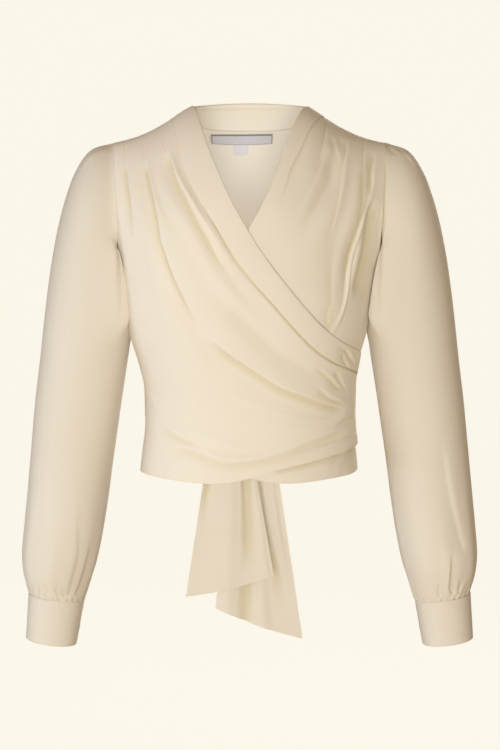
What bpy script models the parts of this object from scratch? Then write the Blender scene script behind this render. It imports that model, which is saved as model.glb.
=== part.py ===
"""Wrap top in its worn shape, built panel by panel.

A surplice blouse: a back, two fronts that cross and tie behind, a folded band
round the neckline, long full sleeves with deep cuffs.  Lengths are millimetres
until a mesh is made.  The origin lies midway between the two neck points,
+X is the wearer's left, -Y is the front and +Z is up.

Panels are laid out on one smooth body form.  A place on the form is a turn
(degrees round the body from the centre front) and a run (millimetres down the
cloth from the ridge of the shoulder), and a rise moves it out along the normal.
"""

import math

import bpy
import numpy as np

# ---------------------------------------------------------------- sizes

WALL = 1.3                 # cloth panels
BAND_WALL = 1.9            # folded, double cloth: neckband and cuffs
LAYER = 3.8                # from one front to the front that crosses over it
SEAM = 0.3                 # between the pieces that a seam joins
BODY_ROUNDNESS = 2.35      # exponent of the body's level sections (2 is an ellipse)
SHOULDER_TIP = -45.5       # height of the shoulder point
SHOULDER_DROP = 150.0      # the cloth rounds over the shoulder within this drop
SLOPE_ENDS = -330.0        # below this height the rows of cloth lie level
SIDE_HEM_RUN = 498.0       # run of the hem at the side seams
BACK_HEM_RUN = 503.0
ARMPIT_RUN = 245.0
NECK_TURN = 28.0           # where the shoulder seam meets the neckband
BACK_NECK_RUN = 119.5      # run of the neckband seam at the centre back
SIDE_GAP_TURN = 0.09       # half of a side seam's gap, in degrees
SHOULDER_GAP_RUN = 0.5     # half of a shoulder seam's gap
CREAM = (0.86, 0.79, 0.66)

TORSO_COLUMNS = ("height", "half_width", "front", "back")
TORSO = (
    (-46, 200, 90, 90),
    (-90, 197, 95, 98),
    (-130, 188, 101, 103),
    (-165, 176, 108, 104),
    (-196, 164.5, 113, 103),
    (-240, 156.5, 115, 98),
    (-284, 149.5, 110, 93),
    (-320, 139, 102, 89),
    (-346, 133.5, 98, 87),
    (-372, 132, 96, 87),
    (-410, 133, 97, 90),
    (-437, 136.5, 99, 94),
    (-463, 139, 101, 98),
    (-500, 141, 103, 102),
)

SHOULDER_COLUMNS = ("across", "height")
SHOULDER = (
    (0, 14),
    (30, 12),
    (60, 5.5),
    (74, 1),
    (88, -7.5),
    (103, -17.5),
    (120, -27),
    (142, -36.5),
    (162, -42),
    (180, -45.5),
    (215, -52),
)

ARMHOLE_COLUMNS = ("run", "turn")
ARMHOLE = ((0, 54.8), (40, 54.2), (110, 54.4), (170, 58.8), (215, 68.5), (237, 80), (245, 90))

# The lines that the cloth of a front follows, from its start edge (side seam, armhole,
# shoulder seam) to its tie end, at five equal steps.  Share 0 is the hem, 1 the seam of
# the neckband and 1.2 the neckline edge.  The right front is given; the left is its mirror.
LINE_COLUMNS = (
    "share",
    "turn_0", "run_0",
    "turn_1", "run_1",
    "turn_2", "run_2",
    "turn_3", "run_3",
    "turn_4", "run_4",
    "turn_5", "run_5",
)
LINES = (
    (0.00, -90, 498, -48, 500, -13, 502, 19, 483, 55, 469, 100, 464),
    (0.12, -90, 412, -49, 436, -16, 461, 17, 463, 54, 452, 100, 455),
    (0.21, -90, 330, -62, 385, -29, 425, 6, 449, 47, 450, 100, 451),
    (0.30, -90, 245, -71, 332, -39, 396, 0, 436, 43, 447, 100, 447),
    (0.44, -54, 100, -55, 233, -49, 337, -13, 403, 35, 434, 100, 439),
    (0.56, -54.8, 0, -50, 190, -46, 312, -14, 386, 34, 426, 100, 433),
    (0.64, -48, 0, -46.5, 181, -44, 301, -14, 377, 34, 421, 100, 430),
    (0.75, -38, 0, -37, 171, -33, 285, -7, 351, 35, 405, 100, 420),
    (0.84, -35, 0, -33, 162, -21, 271, 5, 327, 41, 379, 100, 404),
    (0.93, -31, 0, -27, 157, -14, 261, 10, 316, 43, 364, 100, 393),
    (1.00, -28, 0, -25, 156, -11, 256, 13, 309, 45, 354, 100, 384),
    (1.20, -21, 0, -14, 143, -2, 239, 19, 294, 49, 333, 100, 358),
)
ARMPIT_SHARE = 0.30
TIP_SHARE = 0.56
BAND_SEAM_SHARE = 1.0
NECK_SHARE = 1.20
BAND_WIDTH = 33.0          # millimetres of cloth between those two shares
UNDER_BAND_STARTS = 0.04   # the under-front's band is this much narrower, in share
LAP_CLIMB = 45.0           # the over layer climbs to its height within this much cloth
LEFT_BAND_SHIFT = 1.5      # degrees that the under-front's band lies nearer the centre

FOLD_COLUMNS = ("share", "rise", "above", "below", "begins", "ends")
RIGHT_FOLDS = (
    (0.955, 5.0, 0.045, 0.05, 0.10, 0.92),
    (0.865, 3.6, 0.04, 0.05, 0.14, 0.72),
    (0.785, 5.0, 0.035, 0.06, 0.12, 0.95),
    (0.69, 3.6, 0.03, 0.05, 0.12, 0.50),
    (0.60, 2.4, 0.04, 0.05, 0.40, 0.97),
    (0.40, 2.0, 0.05, 0.06, 0.35, 0.95),
    (0.155, 2.6, 0.03, 0.05, 0.10, 0.55),
    (0.085, 4.0, 0.03, 0.05, 0.10, 0.97),
)
LEFT_FOLDS = (
    (0.925, 3.4, 0.04, 0.05, 0.05, 0.36),
    (0.81, 3.6, 0.035, 0.06, 0.10, 0.42),
    (0.70, 3.8, 0.03, 0.05, 0.09, 0.44),
    (0.62, 4.6, 0.03, 0.045, 0.11, 0.48),
)

SLEEVE_COLUMNS = ("ring", "outer_x", "outer_z", "inner_x", "inner_z", "half_depth", "centre_y")
SLEEVE = (
    (0, 171, -43.5, 165.5, -204, 50, 0),
    (1, 200, -53, 167.5, -211, 55, 1),
    (2, 219, -78, 165.5, -222, 59, 2),
    (3, 232, -110, 162, -236, 61, 3),
    (4, 243, -150, 158, -252, 61, 3),
    (5, 252.5, -200, 154.5, -275, 60, 3),
    (6, 260, -255, 153.5, -305, 58, 2),
    (7, 267, -318, 158, -345, 56, 0),
    (8, 274, -372, 166, -392, 54, -1),
    (9, 280, -430, 174.5, -446, 52, -2),
    (10, 285.5, -485, 182, -500, 50, -3),
    (11, 290.5, -533, 190, -548, 48, -4),
    (12, 293.5, -568, 197, -580, 46, -5),
    (13, 292, -592.5, 203, -599, 42.5, -5),
    (14, 288, -609.5, 208.3, -616, 37.5, -5),
    (15, 284, -621, 213.5, -630, 34, -5),
)
SLEEVE_ROUNDNESS = 2.15
SLEEVE_SIDES = 36
CUFF_GATHERS = 18
GATHER_DEPTH = 1.7
CUFF_HEIGHT = 60.0
CUFF_TAPER = 3.2           # each side of the cuff draws in by this much towards the hand
CUFF_LAP = 30.0            # degrees of overlap
CUFF_LIFT = BAND_WALL + 1.4 * SEAM
CUFF_UNDER = 0.6
CUFF_OPENING = 128.0       # where the lap ends, in degrees from the outer side towards the back
BUTTON_RADIUS = 5.5
BUTTON_THICKNESS = 2.4
BUTTON_DROPS = (17.0, 42.0)

TIE_START_TURN = 100.0
TIE_INSIDE_TURN = 82.0     # the left front ends here, inside the side seam
KNOT_TURN = 179.3
KNOT_TOP_RUN = 405.0
KNOT_BOTTOM_RUN = 447.0
TIE_RIPPLES = 3
SLIT_TOP_RUN = 372.0
SLIT_BOTTOM_RUN = 446.0
SLIT_TURN = 7.5            # the back's edge stands off this far at the slit


# ---------------------------------------------------------------- curves and the body form

def column(table, names, name):
    """One named column of a table."""
    return np.array([row[names.index(name)] for row in table], float)


def curve(at, value):
    """A smooth function through the values at the given places."""
    order = np.argsort(at)
    at, value = at[order], value[order]
    slope = np.gradient(value, at)

    def height(place):
        place = np.clip(np.asarray(place, float), at[0], at[-1])
        i = np.clip(np.searchsorted(at, place, side="right") - 1, 0, len(at) - 2)
        width = at[i + 1] - at[i]
        u = (place - at[i]) / width
        return (
            value[i] * (1 + 2 * u) * (1 - u) ** 2
            + slope[i] * width * u * (1 - u) ** 2
            + value[i + 1] * u * u * (3 - 2 * u)
            - slope[i + 1] * width * u * u * (1 - u)
        )

    return height


def table_curve(table, names, key, name):
    return curve(column(table, names, key), column(table, names, name))


def smooth(low, high, value):
    """0 at low, 1 at high, with level ends."""
    t = np.clip((np.asarray(value, float) - low) / (high - low), 0, 1)
    return t * t * (3 - 2 * t)


half_width = table_curve(TORSO, TORSO_COLUMNS, "height", "half_width")
front_depth = table_curve(TORSO, TORSO_COLUMNS, "height", "front")
back_depth = table_curve(TORSO, TORSO_COLUMNS, "height", "back")
shoulder_height = table_curve(SHOULDER, SHOULDER_COLUMNS, "across", "height")
armhole_turn = table_curve(ARMHOLE, ARMHOLE_COLUMNS, "run", "turn")


def reach(turn, roundness):
    """Radius of a rounded section of unit size, in the direction of turn."""
    s, c = np.abs(np.sin(np.radians(turn))), np.abs(np.cos(np.radians(turn)))
    return (s**roundness + c**roundness) ** (-1 / roundness)


def form(turn, run):
    """Points of the body form."""
    turn, run = np.broadcast_arrays(np.asarray(turn, float), np.asarray(run, float))
    over = np.clip(run / SHOULDER_DROP, -0.3, math.pi / 2)
    level = SHOULDER_TIP - SHOULDER_DROP * (1 - np.cos(over))
    level = level - np.maximum(run - SHOULDER_DROP * math.pi / 2, 0)
    size = reach(turn, BODY_ROUNDNESS)
    x = half_width(level) * size * np.sin(np.radians(turn))
    c = np.cos(np.radians(turn))
    y = np.where(c >= 0, -front_depth(level), -back_depth(level)) * size * c * np.sin(over)
    slope_share = smooth(SLOPE_ENDS, SHOULDER_TIP - SHOULDER_DROP, level)
    z = level + (shoulder_height(np.abs(x)) - SHOULDER_TIP) * slope_share
    return np.stack([x, y, z], -1)


def unit(vectors):
    return vectors / np.maximum(np.linalg.norm(vectors, axis=-1, keepdims=True), 1e-9)


def form_normal(turn, run):
    step = 0.5
    across = form(turn + step, run) - form(turn - step, run)
    down = form(turn, run + step) - form(turn, run - step)
    return unit(np.cross(down, across))


def on_form(turn, run, rise=0.0):
    """A place on the form, moved out along its normal."""
    return form(turn, run) + np.asarray(rise, float)[..., None] * form_normal(turn, run)


# ---------------------------------------------------------------- meshes

def material(name, colour, roughness=0.85, metallic=0.0):
    made = bpy.data.materials.new(name)
    made.use_nodes = True
    shader = made.node_tree.nodes["Principled BSDF"]
    shader.inputs["Base Color"].default_value = (*colour, 1.0)
    shader.inputs["Roughness"].default_value = roughness
    shader.inputs["Metallic"].default_value = metallic
    return made


def strip_faces(upper, lower, closed, points):
    """Triangles between two rows of vertex numbers; the lower may have twice as many steps."""
    steps = len(upper) if closed else len(upper) - 1
    faces = []
    for i in range(steps):
        a, b = upper[i], upper[(i + 1) % len(upper)]
        if len(lower) >= 2 * steps:
            p, q, r = (lower[(2 * i + k) % len(lower)] for k in range(3))
            faces += [(a, p, q), (a, q, b), (b, q, r)]
            continue
        p, q = lower[i], lower[(i + 1) % len(lower)]
        if math.dist(points[a], points[q]) < math.dist(points[b], points[p]):
            faces += [(a, p, q), (a, q, b)]
        else:
            faces += [(a, p, b), (b, p, q)]
    return faces


def wall(name, outer_rows, inner_rows, colour, closed=False):
    """A closed solid between two sheets of points, given as rows; closed rows form a tube."""
    outer, points = [], []
    for row in outer_rows:
        outer.append(list(range(len(points), len(points) + len(row))))
        points.extend(row)
    half = len(points)
    for row in inner_rows:
        points.extend(row)
    faces = []
    for upper, lower in zip(outer, outer[1:]):
        faces += strip_faces(upper, lower, closed, points)
    faces += [(c + half, b + half, a + half) for a, b, c in faces]
    edges = [outer[0][::-1], outer[-1]]
    if closed:
        edges = [edge + edge[:1] for edge in edges]
    else:
        edges += [[row[0] for row in outer], [row[-1] for row in outer][::-1]]
    for edge in edges:
        for a, b in zip(edge, edge[1:]):
            faces.append((a, a + half, b + half, b))
    return solid(name, points, faces, colour)


def solid(name, points, faces, colour):
    """An object of the given points, in millimetres, with all its faces pointing out."""
    mesh = bpy.data.meshes.new(name)
    mesh.from_pydata([tuple(0.001 * float(c) for c in p) for p in points], [], faces)
    mesh.validate()
    corners = np.array([v.co for v in mesh.vertices])
    mesh.calc_loop_triangles()
    triangles = np.array([t.vertices[:] for t in mesh.loop_triangles])
    a, b, c = (corners[triangles[:, k]] for k in range(3))
    if np.einsum("ij,ij->i", a, np.cross(b, c)).sum() < 0:
        mesh.flip_normals()
    mesh.shade_smooth()
    mesh.set_sharp_from_angle(angle=math.radians(50))
    mesh.materials.append(material(name, colour))
    made = bpy.data.objects.new(name, mesh)
    bpy.context.scene.collection.objects.link(made)
    return made


def form_panel(name, turn, run, rise, thickness, colour=CREAM):
    """A wall on the form: rows of turn, run and rise, and its thickness inward."""
    normal = form_normal(turn, run)
    outer = form(turn, run) + rise[..., None] * normal
    return wall(name, outer, outer - thickness * normal, colour)


# ---------------------------------------------------------------- armholes

def armhole_runs(steps):
    """Runs of the armhole's points, tip to armpit, evenly turned round the sleeve."""
    turned = np.linspace(0, math.pi, steps + 1)
    height = SHOULDER_DROP + ARMPIT_RUN - SHOULDER_DROP * math.pi / 2
    level = SHOULDER_TIP - 0.5 * height * (1 - np.cos(turned))
    over = np.arccos(np.clip(1 - (SHOULDER_TIP - level) / SHOULDER_DROP, 0, 1))
    below = np.maximum(SHOULDER_TIP - SHOULDER_DROP - level, 0)
    runs = SHOULDER_DROP * over + below
    runs[0] = SHOULDER_GAP_RUN
    return runs


ARMHOLE_STEPS = SLEEVE_SIDES // 4
ARMHOLE_RUNS = armhole_runs(ARMHOLE_STEPS)


def armhole_edge(run):
    """Turn of the armhole at a run, kept short of the side seam."""
    return np.minimum(armhole_turn(run), 90 - SIDE_GAP_TURN)


# ---------------------------------------------------------------- fronts

def line_point(share, along, name):
    """A turn or a run on the front's lines, at shares and places along them."""
    stations = []
    for k in range(6):
        stations.append(table_curve(LINES, LINE_COLUMNS, "share", f"{name}_{k}")(share))
    stations = np.array(stations)
    slopes = np.gradient(stations, axis=0)
    place = np.clip(along, 0, 1) * 5
    i = np.minimum(place.astype(int), 4)
    u = place - i
    pick = lambda table, k: np.take_along_axis(table, (i + k)[None], 0)[0]
    return (
        pick(stations, 0) * (1 + 2 * u) * (1 - u) ** 2
        + pick(slopes, 0) * u * (1 - u) ** 2
        + pick(stations, 1) * u * u * (3 - 2 * u)
        - pick(slopes, 1) * u * u * (1 - u)
    )


def start_edge(share):
    """Turn and run of a front's start edge: side seam, armhole, then shoulder seam."""
    share = np.asarray(share, float)
    side_run = SIDE_HEM_RUN + (ARMPIT_RUN - SIDE_HEM_RUN) * share / ARMPIT_SHARE
    step = (TIP_SHARE - share) / (TIP_SHARE - ARMPIT_SHARE) * ARMHOLE_STEPS
    arm_run = np.interp(step, np.arange(ARMHOLE_STEPS + 1), ARMHOLE_RUNS)
    shares = column(LINES, LINE_COLUMNS, "share")
    shoulder_turn = np.interp(share, shares, -column(LINES, LINE_COLUMNS, "turn_0"))
    stretch = [share < ARMPIT_SHARE, share < TIP_SHARE]
    run = np.select(stretch, [side_run, arm_run], SHOULDER_GAP_RUN)
    turn = np.select(stretch, [0 * share + 90 - SIDE_GAP_TURN, armhole_edge(arm_run)], shoulder_turn)
    return -turn, run


def front_place(share, along, end_turn):
    """Turn and run on the right front, with its last stretch drawn to end_turn."""
    turn = line_point(share, along, "turn")
    run = line_point(share, along, "run")
    exact_turn, exact_run = start_edge(share)
    from_table_turn = line_point(share, np.zeros_like(along), "turn")
    from_table_run = line_point(share, np.zeros_like(along), "run")
    near = 1 - smooth(0, 0.2, along)
    turn = turn + (exact_turn - from_table_turn) * near
    run = run + (exact_run - from_table_run) * near
    turn = turn + (end_turn - TIE_START_TURN) * smooth(0.45, 1.0, along)
    return turn, run


def fold_rise(share, along, folds):
    """Rise of the draped folds: each climbs from above and drops more steeply below."""
    rise = np.zeros(np.broadcast(share, along).shape)
    for row in folds:
        fold = dict(zip(FOLD_COLUMNS, row))
        off = share - fold["share"]
        side = np.where(off > 0, off / fold["above"], -off / fold["below"])
        hump = 1 - smooth(0, 1, side)
        fade = smooth(fold["begins"], fold["begins"] + 0.1, along)
        fade = fade * (1 - smooth(fold["ends"] - 0.12, fold["ends"], along))
        rise += fold["rise"] * hump * fade
    return rise


def lapped(turn, run, start_turn, start_run):
    """0 at the right front's start edge, 1 where it has climbed over the left front."""
    return smooth(0, LAP_CLIMB, np.hypot((turn - start_turn) * 2, run - start_run))


def tucked(turn):
    """How far the under layer lies inside the form near the right side seam."""
    return LAYER * (1 - smooth(0, LAP_CLIMB, 2 * np.abs(turn + 90)))


def front_surface(side, share, along):
    """Turn, run and rise of a front; side is -1 for the right and 1 for the left."""
    share, along = np.broadcast_arrays(np.asarray(share, float), np.asarray(along, float))
    if side < 0:
        turn, run = front_place(share, along, TIE_START_TURN)
        start_turn, start_run = start_edge(share)
        rise = LAYER * lapped(turn, run, start_turn, start_run)
        rise = rise + fold_rise(share, along, RIGHT_FOLDS)
        return turn, run, rise
    turn, run = front_place(share, along, TIE_INSIDE_TURN)
    turn = -turn
    shift = smooth(0, 120, run) * smooth(0.8, 1.2, share) * (1 - smooth(0.5, 0.9, along))
    turn = turn - LEFT_BAND_SHIFT * shift
    return turn, run, fold_rise(share, along, LEFT_FOLDS) - tucked(turn)


def front_shares(side_steps, shoulder_steps, last):
    side = np.linspace(0, ARMPIT_SHARE, side_steps + 1)
    arm = np.linspace(ARMPIT_SHARE, TIP_SHARE, ARMHOLE_STEPS + 1)
    shoulder = np.linspace(TIP_SHARE, last, shoulder_steps + 1)
    return np.concatenate([side, arm[1:], shoulder[1:]])


FRONT_PIECES = ("name", "side", "steps_along", "side_steps", "shoulder_steps", "band_share")
FRONTS = (
    ("right", -1, 22, 8, 16, BAND_SEAM_SHARE),
    ("left", 1, 18, 5, 12, BAND_SEAM_SHARE + UNDER_BAND_STARTS),
)


def make_fronts():
    for row in FRONTS:
        piece = dict(zip(FRONT_PIECES, row))
        along = np.linspace(0, 1, piece["steps_along"] + 1)[None, :]
        seam_share = (NECK_SHARE - BAND_SEAM_SHARE) * SEAM / BAND_WIDTH
        share = front_shares(piece["side_steps"], piece["shoulder_steps"], piece["band_share"])[:, None]
        turn, run, rise = front_surface(piece["side"], share, along)
        form_panel("front_" + piece["name"], turn, run, rise, WALL)
        share = np.linspace(piece["band_share"] + seam_share, NECK_SHARE, 5)[:, None]
        turn, run, rise = front_surface(piece["side"], share, along)
        form_panel("neckband_" + piece["name"], turn, run, rise + BAND_WALL - WALL, BAND_WALL)


# ---------------------------------------------------------------- back

def neck_run(turn):
    """Run of the back neck seam, from the centre back out to the shoulder seams."""
    share = np.clip(np.abs(turn) / NECK_TURN, 0, 1)
    return np.maximum(BACK_NECK_RUN * np.sqrt(1 - share**2.5), SHOULDER_GAP_RUN)


NECK_STEPS = 5
SHOULDER_STEPS = 3
BACK_ROWS = 15
CINCH_RUN = 425.0          # the ties draw the back in along this line
CINCH_RISE = 2.6
CINCH_RIPPLES = 12         # all round, if they went all round
NECK_TURNS = NECK_TURN * np.sin(np.linspace(0, math.pi / 2, NECK_STEPS + 1))


def back_top():
    """Turn from the centre back, and run, along the back's top edge: neck, shoulder, armhole."""
    shoulder = np.linspace(NECK_TURN, armhole_turn(SHOULDER_GAP_RUN), SHOULDER_STEPS + 1)[1:]
    turn = np.concatenate([NECK_TURNS, shoulder, armhole_edge(ARMHOLE_RUNS[1:])])
    shoulder_run = np.full(SHOULDER_STEPS, SHOULDER_GAP_RUN)
    run = np.concatenate([neck_run(NECK_TURNS), shoulder_run, ARMHOLE_RUNS[1:]])
    return turn, run


def make_back():
    top_turn, top_run = back_top()
    corners = (0, NECK_STEPS, NECK_STEPS + SHOULDER_STEPS, len(top_turn) - 1)
    hem_turn = np.interp(np.arange(len(top_turn)), corners, (0, 24, 43, 90 - SIDE_GAP_TURN))
    up = np.linspace(0, 1, BACK_ROWS + 1)[:, None]
    hem_run = BACK_HEM_RUN + (SIDE_HEM_RUN - BACK_HEM_RUN) * smooth(30, 90, hem_turn)
    turn = hem_turn + (top_turn - hem_turn) * up
    run = hem_run + (top_run - hem_run) * up
    turn = np.concatenate([-turn[:, :0:-1], turn], axis=1)
    run = np.concatenate([run[:, :0:-1], run], axis=1)
    # turn is measured from the centre back, towards the wearer's left; the slit is on the right
    at_slit = smooth(SLIT_TOP_RUN - 7, SLIT_TOP_RUN + 9, run)
    at_slit = at_slit * (1 - smooth(SLIT_BOTTOM_RUN - 11, SLIT_BOTTOM_RUN + 5, run))
    turn = turn + SLIT_TURN * at_slit * (1 - smooth(0, 14, 90 + turn))
    gathered = np.exp(-(((run - CINCH_RUN) / 60) ** 2)) * (1 - np.exp(-(((run - CINCH_RUN) / 26) ** 2)))
    ripple = 0.5 + 0.5 * np.cos(np.radians(turn * CINCH_RIPPLES))
    folds = CINCH_RISE * gathered * ripple * (1 - smooth(35, 65, np.abs(turn)))
    form_panel("back", 180 - turn, run, folds, WALL)


BACK_BAND_HALF = 74.0      # half the width of the neckline at the shoulder
BACK_BAND_DEPTH = 65.0
BACK_BAND_TOP = 5.4
BACK_BAND_END = 1.6


def back_band_sheet():
    turns = np.concatenate([-NECK_TURNS[:0:-1], NECK_TURNS])
    seam = form(180 - turns, neck_run(turns))
    x = seam[:, 0] * BACK_BAND_HALF / abs(seam[0, 0])
    share = np.abs(x) / BACK_BAND_HALF
    y = BACK_BAND_DEPTH * np.maximum(1 - share**2.4, 0) ** (1 / 2.4) + seam[0, 1]
    z = BACK_BAND_END + (BACK_BAND_TOP - BACK_BAND_END) * (1 - share**2)
    top = np.stack([x, y, z], -1)
    length = np.linalg.norm(top - seam, axis=-1, keepdims=True)
    seam = seam + (top - seam) * SEAM / length
    up = np.linspace(0, 1, 4)[:, None, None]
    return seam + (top - seam) * up


def sheet_normals(points):
    """Normals of a sheet of points, rows by columns, pointing away from the z axis or up."""
    down = np.gradient(points, axis=0)
    across = np.gradient(points, axis=1)
    return unit(np.cross(down, across))


def make_back_band():
    outer = back_band_sheet()
    normal = sheet_normals(outer)
    if normal[0, len(normal[0]) // 2, 1] < 0:
        normal = -normal
    normal[:, (0, -1), 1] = 0
    normal = unit(normal)
    wall("neckband_back", outer, outer - BAND_WALL * normal, CREAM)


# ---------------------------------------------------------------- sleeves and cuffs

def ring_value(name, ring):
    return table_curve(SLEEVE, SLEEVE_COLUMNS, "ring", name)(ring)


def sleeve_ring(ring, turned):
    """Points of the left sleeve; turned is 0 at the outer side, 90 at the front, 180 inside."""
    ring, turned = np.broadcast_arrays(np.asarray(ring, float), np.asarray(turned, float))
    outer = np.stack([ring_value("outer_x", ring), 0 * ring, ring_value("outer_z", ring)], -1)
    inner = np.stack([ring_value("inner_x", ring), 0 * ring, ring_value("inner_z", ring)], -1)
    size = reach(turned + 90, SLEEVE_ROUNDNESS)
    c = (size * np.cos(np.radians(turned)))[..., None]
    s = size * np.sin(np.radians(turned))
    points = (outer + inner) / 2 + (outer - inner) / 2 * c
    points[..., 1] = ring_value("centre_y", ring) - ring_value("half_depth", ring) * s
    return points


def armhole_loop(turned):
    """The sleeve's first ring: the armhole's own points, moved out across the seam."""
    step = 180 / (2 * ARMHOLE_STEPS)
    place = np.abs((turned + 180) % 360 - 180) / step / 2
    k = np.minimum(place.astype(int), ARMHOLE_STEPS - 1)
    loop = on_form(armhole_edge(ARMHOLE_RUNS), ARMHOLE_RUNS)
    tangent = unit(np.gradient(loop, axis=0))
    normal = form_normal(armhole_edge(ARMHOLE_RUNS), ARMHOLE_RUNS)
    away = unit(np.cross(normal, tangent))
    loop[:, 0] += np.minimum(1.15 * SEAM / np.maximum(np.abs(away[:, 0]), 0.01), 4 * SEAM)
    u = (place - k)[..., None]
    points = loop[k] * (1 - u) + loop[k + 1] * u
    points[..., 1] *= np.where((turned % 360) > 180, -1, 1)
    return points


def sleeve_surface(ring, turned):
    """The left sleeve: rings of the table, blended into the armhole at the top."""
    ring, turned = np.broadcast_arrays(np.asarray(ring, float), np.asarray(turned, float))
    points = sleeve_ring(ring, turned)
    step = armhole_loop(turned) - sleeve_ring(0 * ring, turned)
    return points + step * (1 - smooth(0, 3.2, ring))[..., None]


def sleeve_normal(ring, turned):
    step = 0.05
    down = sleeve_surface(ring + step, turned) - sleeve_surface(np.maximum(ring - step, 0), turned)
    across = sleeve_surface(ring, turned + 1) - sleeve_surface(ring, turned - 1)
    normal = unit(np.cross(across, down))
    arm = arm_frame()[3]
    lengthwise = (normal @ arm)[..., None] * arm
    return unit(normal - lengthwise * smooth(LAST_RING - 1, LAST_RING, ring)[..., None])


SLEEVE_FOLD_COLUMNS = ("turned", "rise", "width", "top", "bottom")
SLEEVE_FOLDS = (
    (38, 2.4, 14, 7.5, 15),
    (84, 2.0, 12, 9.5, 15),
    (128, 2.4, 14, 8.5, 15),
    (200, 2.0, 16, 7.0, 15),
    (262, 2.4, 14, 9.0, 15),
    (318, 2.0, 16, 8.0, 15),
    (24, 2.2, 11, -0.5, 2.6),
    (336, 2.2, 11, -0.5, 2.6),
)


def sleeve_rise(ring, turned):
    """Gathers above the cuff and the longer folds that run up from them."""
    gather = GATHER_DEPTH * np.cos(np.radians(CUFF_GATHERS * turned)) * smooth(12.2, 14.4, ring)
    for row in SLEEVE_FOLDS:
        fold = dict(zip(SLEEVE_FOLD_COLUMNS, row))
        off = np.abs((turned - fold["turned"] + 180) % 360 - 180) / fold["width"]
        fade = smooth(fold["top"], fold["top"] + 2, ring)
        fade = fade * (1 - smooth(fold["bottom"] - 2, fold["bottom"], ring))
        gather = gather + fold["rise"] * (1 - smooth(0, 1, off)) * fade
    return gather * smooth(0, 0.6, ring)


SLEEVE_RINGS = (0, 0.5, 1.2, 2, 3, 4.3, 6, 8, 10, 11.7, 12.6, 13.4, 14.2, 15)
FINE_FROM = 12.0           # below this ring the sleeve has twice as many sides
LAST_RING = 15.0


def mirrored(points, side):
    return points * np.array([side, 1, 1])


def make_sleeve(name, side):
    outer, inner = [], []
    for ring in SLEEVE_RINGS:
        sides = SLEEVE_SIDES * (2 if ring > FINE_FROM else 1)
        turned = np.arange(sides) * 360 / sides
        rings = np.full(sides, float(ring))
        normal = sleeve_normal(rings, turned)
        points = sleeve_surface(rings, turned) + sleeve_rise(rings, turned)[:, None] * normal
        outer.append(mirrored(points, side))
        inner.append(mirrored(points - WALL * normal, side))
    wall("sleeve_" + name, outer, inner, CREAM, closed=True)


def arm_frame():
    """Centre of the sleeve's end, and the directions across, back and along the arm."""
    outer = sleeve_ring(LAST_RING, 0.0)
    inner = sleeve_ring(LAST_RING, 180.0)
    across = unit(outer - inner)
    back = np.array([0.0, 1.0, 0.0])
    along = np.cross(across, back)
    along = along * np.sign(-along[2])
    half = np.linalg.norm(outer - inner) / 2
    return (outer + inner) / 2, across, back, along, half


def cuff_point(turned, drop, rise):
    """Left cuff: turned runs from the outer side towards the back."""
    turned, drop, rise = np.broadcast_arrays(*(np.asarray(v, float) for v in (turned, drop, rise)))
    centre, across, back, along, half = arm_frame()
    size = reach(turned, SLEEVE_ROUNDNESS)
    taper = CUFF_TAPER * drop / CUFF_HEIGHT
    x = (half - taper + rise) * size * np.cos(np.radians(turned))
    y = (ring_value("half_depth", LAST_RING) - taper + rise) * size * np.sin(np.radians(turned))
    return centre + x[..., None] * across + y[..., None] * back + drop[..., None] * along


def make_cuff(name, side):
    turned = np.linspace(CUFF_OPENING - 360, CUFF_OPENING + CUFF_LAP, 40)[None, :]
    drop = np.linspace(SEAM, CUFF_HEIGHT, 3)[:, None]
    lift = CUFF_LIFT * smooth(CUFF_LAP, CUFF_LAP + 70, turned - turned[0, 0]) - CUFF_UNDER
    outer = cuff_point(turned, drop, lift)
    inner = cuff_point(turned, drop, lift - BAND_WALL)
    wall("cuff_" + name, mirrored(outer, side), mirrored(inner, side), CREAM)
    for number, place in enumerate(BUTTON_DROPS, 1):
        make_button(f"cuff_button_{name}_{number}", side, place)


def make_button(name, side, drop):
    turned = CUFF_OPENING + 0.5 * CUFF_LAP
    seat = CUFF_LIFT - CUFF_UNDER
    seated = cuff_point(turned, drop, seat)
    outward = unit(cuff_point(turned, drop, seat + 1) - seated)
    down = arm_frame()[3]
    sideways = np.cross(outward, down)
    rings = []
    for height, radius in ((SEAM, 0.85), (1.1, 1.0), (BUTTON_THICKNESS, 0.8)):
        angle = np.arange(12) * math.tau / 12
        edge = seated + height * outward + BUTTON_RADIUS * radius * (
            np.cos(angle)[:, None] * down + np.sin(angle)[:, None] * sideways
        )
        rings.append(mirrored(edge, side))
    points = np.concatenate(rings)
    faces = [tuple(range(12)), tuple(range(24, 36))]
    faces[0] = faces[0][::-1]
    for k in (0, 12):
        for i in range(12):
            j = (i + 1) % 12
            faces.append((k + i, k + j, k + 12 + j, k + 12 + i))
    solid(name, points, faces, (0.82, 0.76, 0.66))


# ---------------------------------------------------------------- ties, knot and tails

TIE_COLUMNS = ("name", "side", "start_turn", "narrow_from", "ripple_from", "steps")
TIES = (
    ("tie_left", 1, TIE_START_TURN + 0.3, 96, 102, 15),
    ("tie_right", -1, TIE_INSIDE_TURN + 0.3, 80, 101, 22),
)
TIE_TOP_RUN = 358.0
TIE_BOTTOM_RUN = 464.0
TIE_RIPPLE_RISE = 2.2
TIE_LIFT = 15.0            # the right tie rides this much higher where it leaves the slit
TIE_CLIMB = 10.0           # degrees in which the right tie comes out through the slit


def tie_rise(side, turn):
    """Rise of a tie: outside the back all along, or from inside the slit to outside it."""
    if side > 0:
        return LAYER + 0 * turn
    climbed = smooth(90, 90 + TIE_CLIMB, turn)
    return LAYER * climbed - tucked(-np.minimum(turn, 90)) * (1 - climbed)


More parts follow.
